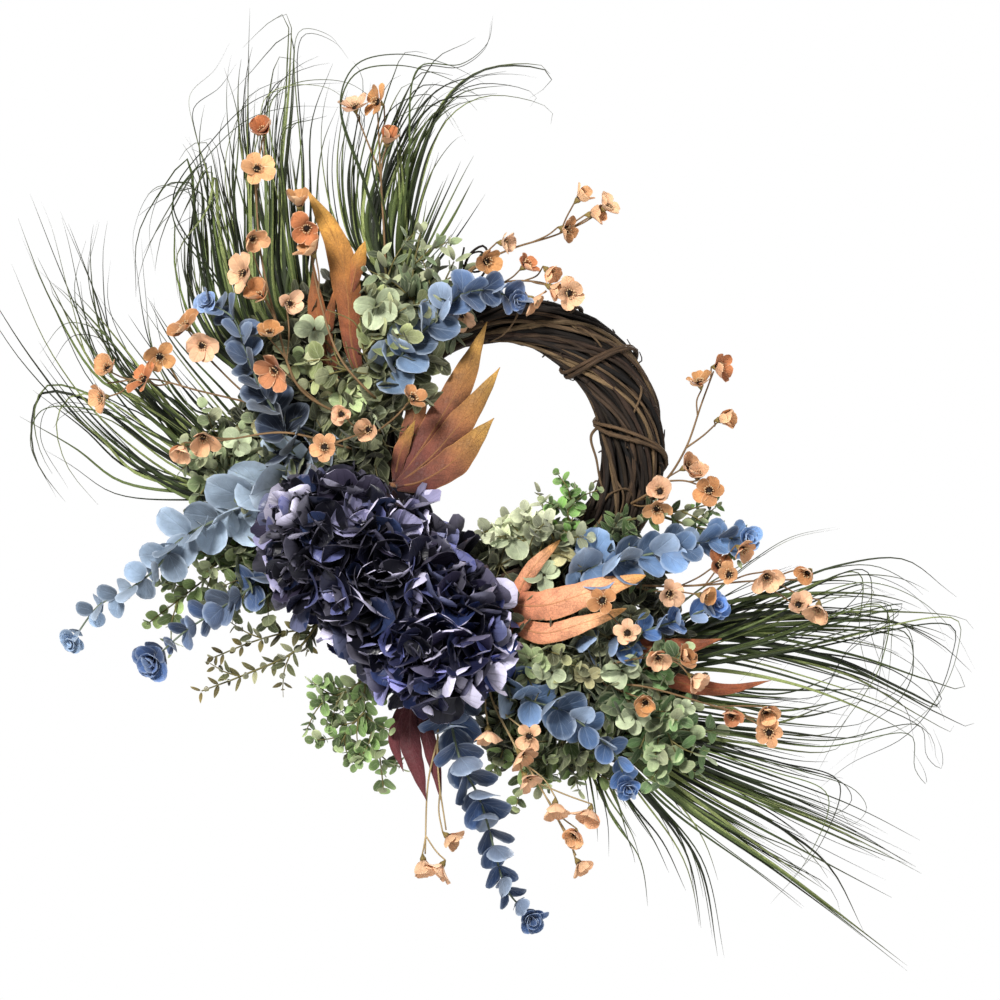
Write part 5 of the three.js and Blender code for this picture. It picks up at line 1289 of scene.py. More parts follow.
# %% Green spray layout
GREEN_SPRAYS = {
    "green_spray_centre": {"routes": [
        [(-116, -6, -42), (-124, -30, -35), (-136, -48, -10), (-140, -54, 25)],
        [(-124, -30, -35), (-150, -46, -28), (-178, -54, -10)],
        [(-136, -48, -10), (-120, -54, 10), (-112, -56, 36)],
    ], "size": (20, 16), "start": 0.3, "form": "small_round"},
    "green_spray_upper": {"routes": [
        [(-78, -6, 2), (-82, -28, 20), (-88, -38, 60), (-80, -42, 110)],
        [(-82, -28, 20), (-108, -36, 50), (-118, -40, 88)],
        [(-82, -28, 20), (-62, -36, 50), (-46, -40, 82)],
    ], "size": (22, 15), "start": 0.28, "form": "long"},
    "green_spray_inner": {"routes": [
        [(30, -6, -229), (32, -30, -215), (26, -40, -198), (12, -42, -182)],
        [(32, -30, -215), (48, -40, -205), (56, -44, -190)],
    ], "size": (19, 14), "start": 0.45, "form": "small_round"},
    "green_sprig_inner": {"routes": [
        [(78, -6, -198), (74, -32, -192), (68, -42, -170), (74, -44, -146)],
    ], "size": (14, 9), "start": 0.35, "form": "small_round"},
    "green_spray_left": {"routes": [
        [(-131, -4, -109), (-180, -10, -114), (-235, -20, -112), (-270, -32, -105), (-312, -38, -98)],
        [(-235, -20, -112), (-268, -28, -130), (-300, -34, -138)],
    ], "size": (20, 12), "start": 0.5, "form": "small_round"},
    "green_spray_lower_left": {"routes": [
        [(-97, -5, -190), (-140, -10, -240), (-190, -16, -285), (-215, -22, -290), (-250, -26, -300),
         (-287, -28, -315)],
        [(-180, -15, -276), (-205, -20, -308), (-255, -26, -332), (-300, -28, -349)],
    ], "size": (15, 10), "start": 0.45, "form": "long"},
    "green_spray_bottom_left": {"routes": [
        [(-81, -5, -205), (-110, -12, -270), (-134, -18, -335), (-136, -24, -370), (-122, -28, -410),
         (-117, -28, -449)],
        [(-134, -18, -335), (-155, -24, -350), (-184, -28, -358)],
        [(-136, -24, -370), (-150, -28, -385), (-160, -30, -402)],
    ], "size": (15, 11), "start": 0.5, "form": "small_round"},
    "green_spray_behind_left": {"routes": [
        [(-125, -3, -143), (-180, -6, -165), (-235, -12, -205), (-280, -18, -225), (-320, -22, -255),
         (-355, -24, -282)],
        [(-235, -12, -205), (-262, -16, -205), (-288, -18, -198)],
    ], "size": (19, 10), "start": 0.5, "form": "small_round"},
    "green_spray_right_front": {"routes": [
        [(21, -5, -231), (28, -20, -280), (40, -34, -315), (62, -38, -340)],
        [(28, -20, -280), (26, -34, -312), (20, -38, -332)],
    ], "size": (19, 14), "start": 0.5, "form": "small_round"},
    "green_spray_right_back": {"routes": [
        [(53, -5, -221), (78, -10, -280), (110, -14, -325), (138, -22, -360), (154, -30, -400),
         (162, -32, -440)],
        [(110, -14, -325), (138, -24, -330), (160, -32, -335)],
        [(138, -22, -360), (165, -30, -385), (176, -34, -410)],
    ], "size": (22, 15), "start": 0.5, "form": "small_round"},
    "green_spray_ring_right": {"routes": [
        [(108, -6, -180), (122, -32, -178), (158, -40, -172), (190, -42, -166), (215, -40, -160)],
        [(158, -40, -172), (200, -42, -185), (240, -38, -192)],
    ], "size": (17, 10), "start": 0.25, "form": "long"},
    "green_spray_bottom": {"routes": [
        [(-19, -4, -233), (-22, -6, -300), (-8, -10, -370), (30, -14, -402), (70, -18, -418),
         (112, -20, -440)],
        [(-8, -10, -370), (10, -16, -410), (40, -20, -445)],
    ], "size": (17, 12), "start": 0.62, "form": "small_round"},
}
# Each spray's tint near the ring and at its tips.
GREEN_TINTS = {
    "green_spray_centre": ("788452", "b4bc84"),
    "green_spray_upper": ("6f8560", "93a37a"),
    "green_spray_inner": ("b0ba94", "d4dab8"),
    "green_sprig_inner": ("6c9a4c", "86b060"),
    "green_spray_left": ("6c7d56", "94a37a"),
    "green_spray_lower_left": ("44583c", "7a6a38"),
    "green_spray_bottom_left": ("6f9052", "8fae6c"),
    "green_spray_behind_left": ("6d8a4c", "9ab070"),
    "green_spray_right_front": ("6e7c54", "a6a878"),
    "green_spray_right_back": ("5f8450", "86a870"),
    "green_spray_ring_right": ("4c6a3c", "6c8a4c"),
    "green_spray_bottom": ("6c8a50", "93a868"),
}
GREEN_FORMS = {"small_round": ((0.45, 0.55), 0.9), "long": ((0.6, 0.8), 0.5)}
GREEN_WIDENING = 1.15
# How far the leaves turn to the viewer, and their cup.
GREEN_LOOK = (0.5, 0.12)
GREEN_BACK = "c9cba6"
# Rows of the main stems, of their side twigs and of the twigs of a tuft, and the side twigs of each stem.
GREEN_ROWS, SIDE_ROWS, TUFT_ROWS = 70, 16, 14
SIDE_TWIGS = {"small_round": 5, "long": 2}
MAIN_GRID, SIDE_GRID = (7, 5), (6, 5)
# The tints of the main stems, of their side twigs, of a tuft's stem and of thin twigs.
GREEN_STEM, GREEN_SIDE, TUFT_STEM, THIN_TWIG = palette("66603a", "70683e", "4c4630", "5a5436")
# Leafy tufts low on the ring and behind the larger pieces, darker as painted shade, which close the gaps:
# where each grows from and the point that its twigs fan out from, their reach, how many, and how much
# darker they are.
GREEN_TUFTS = {
    "green_spray_centre": [
        ((-118, -10, -60), (-122, -30, -66), 42, 7, 0.35),
        ((-112, -10, -30), (-104, -30, -32), 40, 7, 0.35),
        ((-128, -10, -100), (-128, -28, -98), 42, 8, 0.16),
        ((-128, -8, -70), (-182, -12, -42), 46, 9, 0.16),
        ((-128, -8, -70), (-178, -8, -86), 44, 9, 0.14),
        ((-128, -8, -60), (-202, -4, -12), 42, 8, 0.16),
        ((-118, -10, -30), (-168, -2, 34), 34, 8, 0.14),
    ],
    "green_spray_left": [
        ((-150, -6, -122), (-215, -26, -112), 42, 7, 0.45),
        ((-150, -6, -122), (-232, -4, -84), 40, 8, 0.16),
        ((-135, -6, -130), (-170, -26, -110), 42, 7, 0.25),
    ],
    "green_spray_inner": [
        ((28, -8, -232), (24, -22, -196), 25, 7, 0.9),
        ((-6, -8, -234), (0, -26, -222), 30, 7, 0.4),
    ],
    "green_spray_ring_right": [
        ((74, -8, -208), (74, -26, -212), 34, 7, 0.55),
        ((106, -8, -184), (114, -26, -200), 26, 6, 0.5),
        ((92, -8, -196), (118, -28, -222), 38, 7, 0.45),
    ],
    "green_spray_right_front": [
        ((44, -8, -226), (62, -28, -286), 44, 7, 0.3),
        ((52, -8, -224), (112, -30, -296), 42, 7, 0.3),
        ((52, -8, -224), (136, -6, -262), 44, 9, 0.14),
        ((52, -8, -224), (150, -8, -318), 44, 9, 0.16),
    ],
    "green_spray_right_back": [
        ((64, -8, -216), (122, -22, -344), 46, 7, 0.4),
        ((64, -8, -216), (84, -22, -330), 42, 7, 0.3),
    ],
    "green_spray_bottom": [
        ((-10, -8, -234), (22, -24, -358), 42, 7, 0.35),
        ((-10, -8, -234), (8, -10, -322), 46, 9, 0.14),
        ((-10, -8, -234), (36, -6, -270), 46, 9, 0.14),
        ((20, -8, -234), (100, -8, -376), 46, 9, 0.16),
        ((-10, -8, -234), (8, -10, -382), 34, 8, 0.15),
        ((-10, -8, -234), (62, -24, -398), 42, 7, 0.4),
    ],
    "green_spray_behind_left": [
        ((-125, -3, -143), (-240, -18, -232), 44, 8, 0.4),
        ((-125, -3, -143), (-232, -16, -190), 40, 6, 0.35),
    ],
    "green_spray_upper": [
        ((-78, -6, 2), (-80, -26, 40), 42, 8, 0.45),
        ((-66, -6, 6), (-62, -24, 30), 26, 6, 0.35),
    ],
}
TUFT_LEAF_SHARE = 1.25
# Rows and columns of a tuft's leaves; the dark ones deep inside hardly show.
TUFT_GRID, DEEP_GRID = (6, 4), (5, 3)
DEEP_BELOW = 0.2
SAGE, LIME, OLIVE = palette("bac6a2", "b0c28c", "c6bf8e")
# Painted shade: a cluster leaf is darker at its base than at its tip.
CLUSTER_SHADES = (0.55, 1.15)
CLUSTER_BACK = linear("dfe4cc")
# Clusters of large pale leaves at the front: where a spray's clusters grow from, then for each its middle,
# its leaves' length, how many there are, and their tint.
PALE_CLUSTERS = {
    "green_spray_upper": ((-78, -6, 2), [((-122, -58, 36), 25, 6, SAGE), ((-102, -54, 24), 21, 5, SAGE)]),
    "green_spray_centre": ((-118, -10, -60), [
        ((-186, -38, 14), 19, 5, SAGE), ((-196, -40, -12), 18, 5, LIME), ((-152, -40, -58), 20, 6, LIME),
        ((-132, -38, -68), 18, 4, SAGE), ((-172, -38, -46), 16, 4, OLIVE),
    ]),
    "green_spray_left": ((-150, -6, -122), [
        ((-262, -36, -100), 18, 6, SAGE), ((-236, -34, -88), 15, 5, OLIVE),
    ]),
    "green_spray_inner": ((28, -8, -232), [
        ((12, -34, -194), 24, 7, SAGE), ((62, -36, -206), 16, 6, OLIVE), ((44, -34, -232), 20, 5, SAGE),
    ]),
    "green_spray_right_front": ((52, -8, -224), [
        ((30, -44, -318), 20, 6, LIME), ((52, -42, -330), 20, 6, SAGE), ((122, -42, -328), 20, 5, SAGE),
        ((88, -38, -334), 16, 5, OLIVE),
    ]),
    "green_spray_right_back": ((64, -8, -216), [
        ((136, -36, -376), 19, 5, SAGE), ((184, -30, -366), 14, 4, SAGE),
    ]),
}


def side_twigs(path, start, length, count, number):
    """Short twigs that leave a route by turns left and right."""
    tangent, side, front = frames(path)
    routes = []
    for i in range(count):
        at = int(mix(start, 0.9, (i + 0.5) / count) * (len(path) - 1))
        way = side[at] * (1 if i % 2 else -1)
        far = length * mix(0.7, 1.2, shake(number + i, 41))
        forward, rear = swing(number + i, 42, 0.5), swing(number + i, 43, 0.6)
        middle = path[at] + (way * 0.6 + tangent[at] * 0.8 + front[at] * forward) * far * 0.5
        end = path[at] + (way * 0.75 + tangent[at] * 0.75 + front[at] * rear) * far
        end[1] = min(end[1], WALL_Y - 18)
        routes.append(smooth_route([path[at], middle, end], SIDE_ROWS))
    return routes


def add_tuft(piece, root, middle, reach, twigs, tints, size, outline, share, grid, number):
    """Leafy twigs that fan out from one point, which a stem joins to the ring."""
    root, middle = np.array(root, float), np.array(middle, float)
    stem = smooth_route([root, mix(root, middle, 0.6), middle], 12)
    piece.tube(stem, 1.4, TUFT_STEM, kind=STEM)
    for i in range(twigs):
        number += 11
        angle = TURN * (i + 0.7 * shake(number, 44)) / twigs
        way = np.array([math.cos(angle), mix(-0.35, 0.1, shake(number, 45)), math.sin(angle)])
        far = reach * mix(0.75, 1.15, shake(number, 46))
        bend = np.array([swing(number, 47, 6), -6.0, swing(number, 48, 6)])
        path = smooth_route([middle, middle + way * far * 0.5 + bend, middle + way * far], TUFT_ROWS)
        piece.stem(path, 1.0, 0.5, THIN_TWIG, sides=5)
        add_leaf_pairs(piece, path, 0.2, 5, size, outline, share, tints, number, *GREEN_LOOK, grid)


def add_cluster(piece, root, middle, size, leaves, tint, number):
    """A few large round leaves that look at the viewer, on a stem that joins them to the ring."""
    root, middle = np.array(root, float), np.array(middle, float)
    bend = mix(root, middle, 0.6) + TO_VIEWER * -6
    piece.tube(smooth_route([root, bend, middle], 12), 1.2, THIN_TWIG, kind=STEM)
    run = shades(*CLUSTER_SHADES)
    for k in range(leaves):
        mark = number + k
        angle = k * TURN * 0.382 + swing(mark, 35, 0.4)
        axis = unit(np.array([math.cos(angle), mix(-0.5, 0.1, shake(mark, 36)), math.sin(angle)]))
        face = TO_VIEWER + np.array([swing(mark, 37, 0.6), 0.0, swing(mark, 38, 0.6)])
        face = unit(face - axis * (face @ axis))
        length = size * mix(0.7, 1.1, shake(mark, 39))
        place = middle + axis * 1.5 + TO_VIEWER * 0.8 * k
        form = leaf_form(place, axis, face, length, length * 0.95, ROUND, 0.22, swing(mark, 28, 0.4), 0.04,
                         WAVE_START * shake(mark, 29))
        own = tint * mix(0.6, 1.15, shake(mark, 30))
        piece.sheet(form, own * run, mix(own, CLUSTER_BACK, 0.4) * run, LEAF_THICKNESS)


def build_green_spray(name, spray, number):
    piece = Piece(name)
    outline, share = GREEN_FORMS[spray["form"]]
    tints = palette(*GREEN_TINTS[name], GREEN_BACK)
    size = [GREEN_WIDENING * length for length in spray["size"]]
    small = [length * 0.8 for length in size]
    for r, route in enumerate(spray["routes"]):
        path = smooth_route(route, GREEN_ROWS)
        start = spray["start"] if r == 0 else 0.15
        reach = route_length(path) * (1 - start)
        pairs = max(4, round(reach / (spray["size"][0] * 0.62)))
        piece.stem(path, 1.5, 0.7, GREEN_STEM)
        add_leaf_pairs(piece, path, start, pairs, size, outline, share, tints, number, *GREEN_LOOK, MAIN_GRID)
        for twig in side_twigs(path, start, size[0] * 1.8, SIDE_TWIGS[spray["form"]], number):
            number += 17
            piece.stem(twig, 0.9, 0.5, GREEN_SIDE, sides=5)
            add_leaf_pairs(piece, twig, 0.25, 4, small, outline, share, tints, number, *GREEN_LOOK, SIDE_GRID)
    for root, middle, reach, twigs, light in GREEN_TUFTS.get(name, []):
        number += 150
        # Painted shade: a tuft's tints are darkened by its lightness.
        shaded = [tint * light for tint in tints]
        leaf = np.array(spray["size"], float) * TUFT_LEAF_SHARE
        grid = DEEP_GRID if light < DEEP_BELOW else TUFT_GRID
        add_tuft(piece, root, middle, reach, twigs, shaded, leaf, outline, share, grid, number)
    root, clusters = PALE_CLUSTERS.get(name, (None, []))
    for cluster in clusters:
        number += 10
        add_cluster(piece, root, *cluster, number)
    return piece.build([GREEN, TWIG])


for k, (name, spray) in enumerate(GREEN_SPRAYS.items()):
    build_green_spray(name, spray, 3000 + 400 * k)

# %% [markdown]
# ## Blossoms
#
# Small orange blossoms stand on thin brown branching stems: four or five broad cupped petals, a dark
# middle and a ring of tan-tipped stamens. Some look at the viewer and some to the side. Each keeps
# its place on its stem, and a short twig and a calyx join it to that stem.

# %% Blossom layout
BLOSSOM_SPRAYS = {
    "blossom_spray_upper_left": {"routes": [
        [(-128, -4, -75), (-150, -34, -74), (-200, -70, -45), (-222, -78, 20), (-238, -78, 90),
         (-242, -72, 165), (-236, -66, 205)],
    ], "blooms": [(-235, 208), (-242, 171), (-247, 103), (-253, 68), (-235, 44), (-210, 38), (-228, 6),
        (-222, -27)]},
    "blossom_spray_upper": {"routes": [
        [(-121, -4, -53), (-128, -56, -52), (-160, -70, -14), (-184, -64, 62), (-192, -62, 112),
         (-199, -56, 134)],
    ], "blooms": [(-200, 136), (-192, 114), (-186, 88)]},
    "blossom_spray_top": {"routes": [
        [(-106, -4, -26), (-112, -22, 20), (-116, -26, 100), (-120, -28, 170), (-123, -28, 234)],
        [(-120, -28, 170), (-134, -28, 205), (-145, -28, 232)],
    ], "blooms": [(-145, 235), (-121, 241), (-113, 201)]},
    "blossom_spray_left": {"routes": [
        [(-131, -4, -97), (-180, -20, -88), (-240, -30, -62), (-285, -42, -22), (-312, -44, 12)],
        [(-240, -30, -62), (-300, -42, -48), (-350, -46, -36), (-393, -44, -40)],
    ], "blooms": [(-312, 15), (-297, -2), (-340, -13), (-354, -37), (-390, -27), (-395, -54)]},
    "blossom_spray_left_low": {"routes": [
        [(-127, -14, -112), (-155, -50, -104), (-215, -74, -90), (-265, -72, -96), (-312, -62, -104)],
    ], "blooms": [(-316, -104), (-295, -93)]},
    "blossom_spray_centre": {"routes": [
        [(-119, -10, -92), (-122, -50, -88), (-140, -86, -92), (-172, -96, -104)],
        [(-122, -50, -88), (-104, -66, -74), (-89, -74, -58)],
    ], "blooms": [(-173, -105), (-129, -87), (-88, -57), (-156, -72)]},
    "blossom_spray_right_top": {"routes": [
        [(-60, -5, 12), (-60, -26, 36), (-30, -38, 74), (10, -42, 94), (60, -44, 110), (96, -44, 130)],
        [(-50, -31, 48), (-36, -40, 62), (-28, -44, 72)],
    ], "blooms": [(78, 143), (90, 128), (104, 134), (63, 114), (2, 100), (-15, 82)]},
    "blossom_spray_ring_top": {"routes": [
        [(-38, -5, 20), (-34, -27, 36), (0, -34, 60), (35, -38, 62), (67, -44, 53)],
    ], "blooms": [(24, 76), (47, 73), (50, 56), (68, 50), (32, 44), (-38, 30)]},
    "blossom_spray_right": {"routes": [
        [(124, -6, -164), (140, -34, -156), (165, -44, -138), (186, -46, -105), (202, -44, -60),
         (214, -42, -28)],
        [(186, -46, -105), (204, -46, -92), (218, -44, -79)],
        [(165, -44, -138), (186, -48, -138), (206, -48, -145)],
    ], "blooms": [(200, -42), (216, -24), (219, -77), (184, -125), (197, -134), (209, -148), (160, -149),
        (156, -164)]},
    "blossom_spray_right_middle": {"routes": [
        [(86, -5, -205), (104, -22, -236), (150, -36, -243), (205, -52, -242), (250, -58, -238),
         (312, -56, -236)],
    ], "blooms": [(168, -250), (200, -252), (216, -223), (229, -232), (239, -205), (265, -232), (308, -228),
        (297, -262), (317, -262)]},
    "blossom_spray_right_front": {"routes": [
        [(50, -7, -224), (74, -30, -246), (94, -64, -261), (104, -84, -258)],
    ], "blooms": [(102, -257), (126, -289)]},
    "blossom_spray_lower_right": {"routes": [
        [(9, -4, -236), (30, -8, -290), (78, -20, -334), (150, -44, -345), (230, -56, -368),
         (268, -54, -379)],
        [(78, -20, -334), (116, -46, -320), (156, -56, -314), (184, -56, -320)],
    ], "blooms": [(157, -312), (182, -315), (191, -333), (145, -358), (230, -369), (264, -366), (268, -388)]},
    "blossom_spray_bottom": {"routes": [
        [(-12, -12, -237), (-14, -26, -290), (-10, -34, -350), (14, -54, -400), (44, -60, -450),
         (76, -54, -512)],
    ], "blooms": [(-12, -387), (30, -392), (20, -409), (25, -432), (55, -459), (90, -465), (75, -488),
        (78, -518)]},
    "blossom_spray_hanging": {"routes": [
        [(-46, -6, -224), (-56, -12, -300), (-62, -20, -377), (-62, -34, -430), (-54, -38, -488)],
        [(-62, -24, -395), (-72, -34, -440), (-75, -38, -512)],
    ], "blooms": [(-53, -493), (-77, -517), (-58, -522)]},
}
BLOSSOM_TINTS = palette("d29c70", "deb08a", "b98254", "e4b896", "c48e5a", "b8744a", "daa474")
# How much the blossoms of a spray look at the viewer, and how much they look outward and down.
BLOSSOM_WAYS = {
    "blossom_spray_hanging": (0.15, 0.2, 1.0),
    "blossom_spray_bottom": (0.45, 0.3, 0.7),
    "blossom_spray_right_middle": (0.6, 0.4, 0.35),
    "blossom_spray_lower_right": (0.6, 0.5, 0.2),
    "blossom_spray_upper": (0.7, 0.5, 0.0),
    "blossom_spray_left": (0.6, 0.7, 0.3),
    "blossom_spray_right_top": (0.25, 1.0, 0.0),
    "blossom_spray_ring_top": (0.25, 0.8, 0.5),
    "blossom_spray_right": (0.35, 0.9, 0.1),
    "blossom_spray_top": (0.3, 1.0, 0.0),
}
USUAL_WAY = (0.85, 0.45, 0.1)
BLOSSOM_GROWTH = {"blossom_spray_upper_left": 1.2, "blossom_spray_left": 1.2, "blossom_spray_upper": 1.2,
                  "blossom_spray_top": 1.15, "blossom_spray_left_low": 1.12, "blossom_spray_right": 1.08}
BLOSSOM_OUTLINE = (0.6, 0.36)
BLOSSOM_SIZES = (14.5, 18.0)
BLOSSOM_ROWS = 60
TWIG_TINT = linear("7c6244")
PALE_TWIG_TINT = linear("a8926a")
# Blossoms that hang down are paler and half closed, like bells.
BELL_TINT = linear("e8b892")
BELL_RISE = 0.8
# A petal is dark at its base and has a paler back.
PETAL_BASE, PETAL_BACK = palette("7a3e1c", "f0c8a2")
# The dark heart and the calyx: how far each of their rings lies before the petals, and its radius.
HEART = [(0.8, 2.0), (1.6, 3.9), (2.6, 3.6), (3.6, 1.4)]
HEART_TINT = linear("1c120c")
CALYX = [(-6.0, 0.9), (-4.0, 1.8), (-1.5, 3.2), (0.6, 3.4)]
CALYX_TINT = linear("7c6a3c")
STAMENS = 12
STAMEN_RADII = [0.3, 0.3, 0.8, 0.4]
STAMEN_TINTS = np.array(palette("3a2414", "5c3c22", "c8ac84", "c8ac84"))


def add_blossom_petals(piece, centre, normal, across, over, growth, number):
    petals = 4 if shake(number, 51) < 0.35 else 5
    spin = shake(number, 52) * TURN
    hangs = np.clip(-1.6 * (normal @ UPWARD) - 0.6, 0, 1)
    size = growth * mix(*BLOSSOM_SIZES, shake(number, 53)) * mix(1.0, 1.2, hangs)
    rise = mix(mix(0.32, 1.18, shake(number, 54) ** 1.2), BELL_RISE, hangs)
    tint = mix(BLOSSOM_TINTS[number % len(BLOSSOM_TINTS)], BELL_TINT, hangs)
    run = np.clip(shades(0, 1) * 2.0, 0, 1)
    for k in range(petals):
        mark = number * 5 + k
        angle = spin + k * TURN / petals + swing(mark, 55, 0.12)
        outward, axis, face = raised(across, over, normal, angle, rise + swing(mark, 56, 0.18))
        face = turned(face, axis, swing(mark, 57, 0.25))
        length = size * mix(0.85, 1.08, shake(mark, 66))
        width = size * mix(0.74, 1.02, shake(mark, 58))
        cup, curl = mix(0.2, 0.4, shake(mark, 59)), swing(mark, 60, 0.4)
        form = leaf_form(centre + outward * 1.5, axis, face, length, width, BLOSSOM_OUTLINE, cup, curl, 0.05,
                         WAVE_START * shake(mark, 61))
        front = mix(PETAL_BASE, tint, run) * mix(0.78, 1.12, shake(mark, 62))
        piece.sheet(form, front, mix(front, PETAL_BACK, 0.4), LEAF_THICKNESS)


def add_stamens(piece, centre, normal, across, over, number):
    for k in range(STAMENS):
        mark = number * STAMENS + k
        outward = between(across, over, k * TURN / STAMENS + swing(mark, 63, 0.15))
        root = centre + normal * 1.8 + outward * 1.6
        tip = root + outward * mix(1.6, 3.6, shake(mark, 64)) + normal * mix(3.4, 5.2, shake(mark, 65))
        stamen = np.array([root, mix(root, tip, 0.7), tip, tip + (tip - root) * 0.14])
        piece.tube(stamen, STAMEN_RADII, STAMEN_TINTS, sides=5, kind=STEM, hint=over)


def add_rings(piece, centre, normal, rings, tint, sides, hint):
    """A round body along the normal, given by how far out each of its rings lies and its radius."""
    path = np.array([centre + normal * out for out, radius in rings])
    piece.tube(path, [radius for out, radius in rings], tint, sides=sides, kind=STEM, hint=hint)


def add_blossom(piece, centre, normal, growth, number):
    """A blossom at its centre; gives the back of its calyx, where its twig ends."""
    across, over = square_to(normal, (0.2, 0.3, 0.9))
    add_blossom_petals(piece, centre, normal, across, over, growth, number)
    add_rings(piece, centre, normal, HEART, HEART_TINT, 10, over)
    add_stamens(piece, centre, normal, across, over, number)
    add_rings(piece, centre, normal, CALYX, CALYX_TINT, 9, over)
    return centre + normal * CALYX[0][0]


def build_blossom_spray(name, spray, number):
    piece = Piece(name)
    paths = [smooth_route(route, BLOSSOM_ROWS) for route in spray["routes"]]
    toward, out, down = BLOSSOM_WAYS.get(name, USUAL_WAY)
    twig_tint = PALE_TWIG_TINT if down >= 0.7 else TWIG_TINT
    for k, path in enumerate(paths):
        piece.stem(path, 1.5 if k == 0 else 1.1, 0.8, twig_tint, sides=7)
    for i, (x, z) in enumerate(spray["blooms"]):
        mark = number + i
        gaps = [np.hypot(p[:, 0] - x, p[:, 2] - z).min() for p in paths]
        path = paths[int(np.argmin(gaps))]
        at = nearest(path, x, z)
        foot = path[max(0, at - 9)]
        centre = np.array([x, path[at][1] - 8 - 7 * shake(mark, 2), z])
        outward = unit(centre - path[max(0, at - 14)])
        normal = unit(TO_VIEWER * toward + outward * out - UPWARD * down
                      + np.array([swing(mark, 71, 0.85), 0, swing(mark, 72, 0.85)]))
        back = add_blossom(piece, centre, normal, BLOSSOM_GROWTH.get(name, 1.0), mark)
        bend = mix(foot, back, 0.55) + np.array([swing(mark, 73, 3), 2.0, swing(mark, 74, 3)])
        piece.tube(smooth_route([foot, bend, back], 14), 0.8, twig_tint, kind=STEM)
    return piece.build([BLOSSOM, TWIG])


for k, (name, spray) in enumerate(BLOSSOM_SPRAYS.items()):
    build_blossom_spray(name, spray, 9000 + 20 * k)

# %% [markdown]
# ## Grass
#
# Tufts of long, stiff plastic grass: folded blades a few millimetres wide at the base and hair-thin at
# the tip, many of them bent or kinked near the end. Each blade of the node stands for a bundle, so it
# becomes several blades here, which start together and fan out. Hair-thin wisps curl round some tufts.

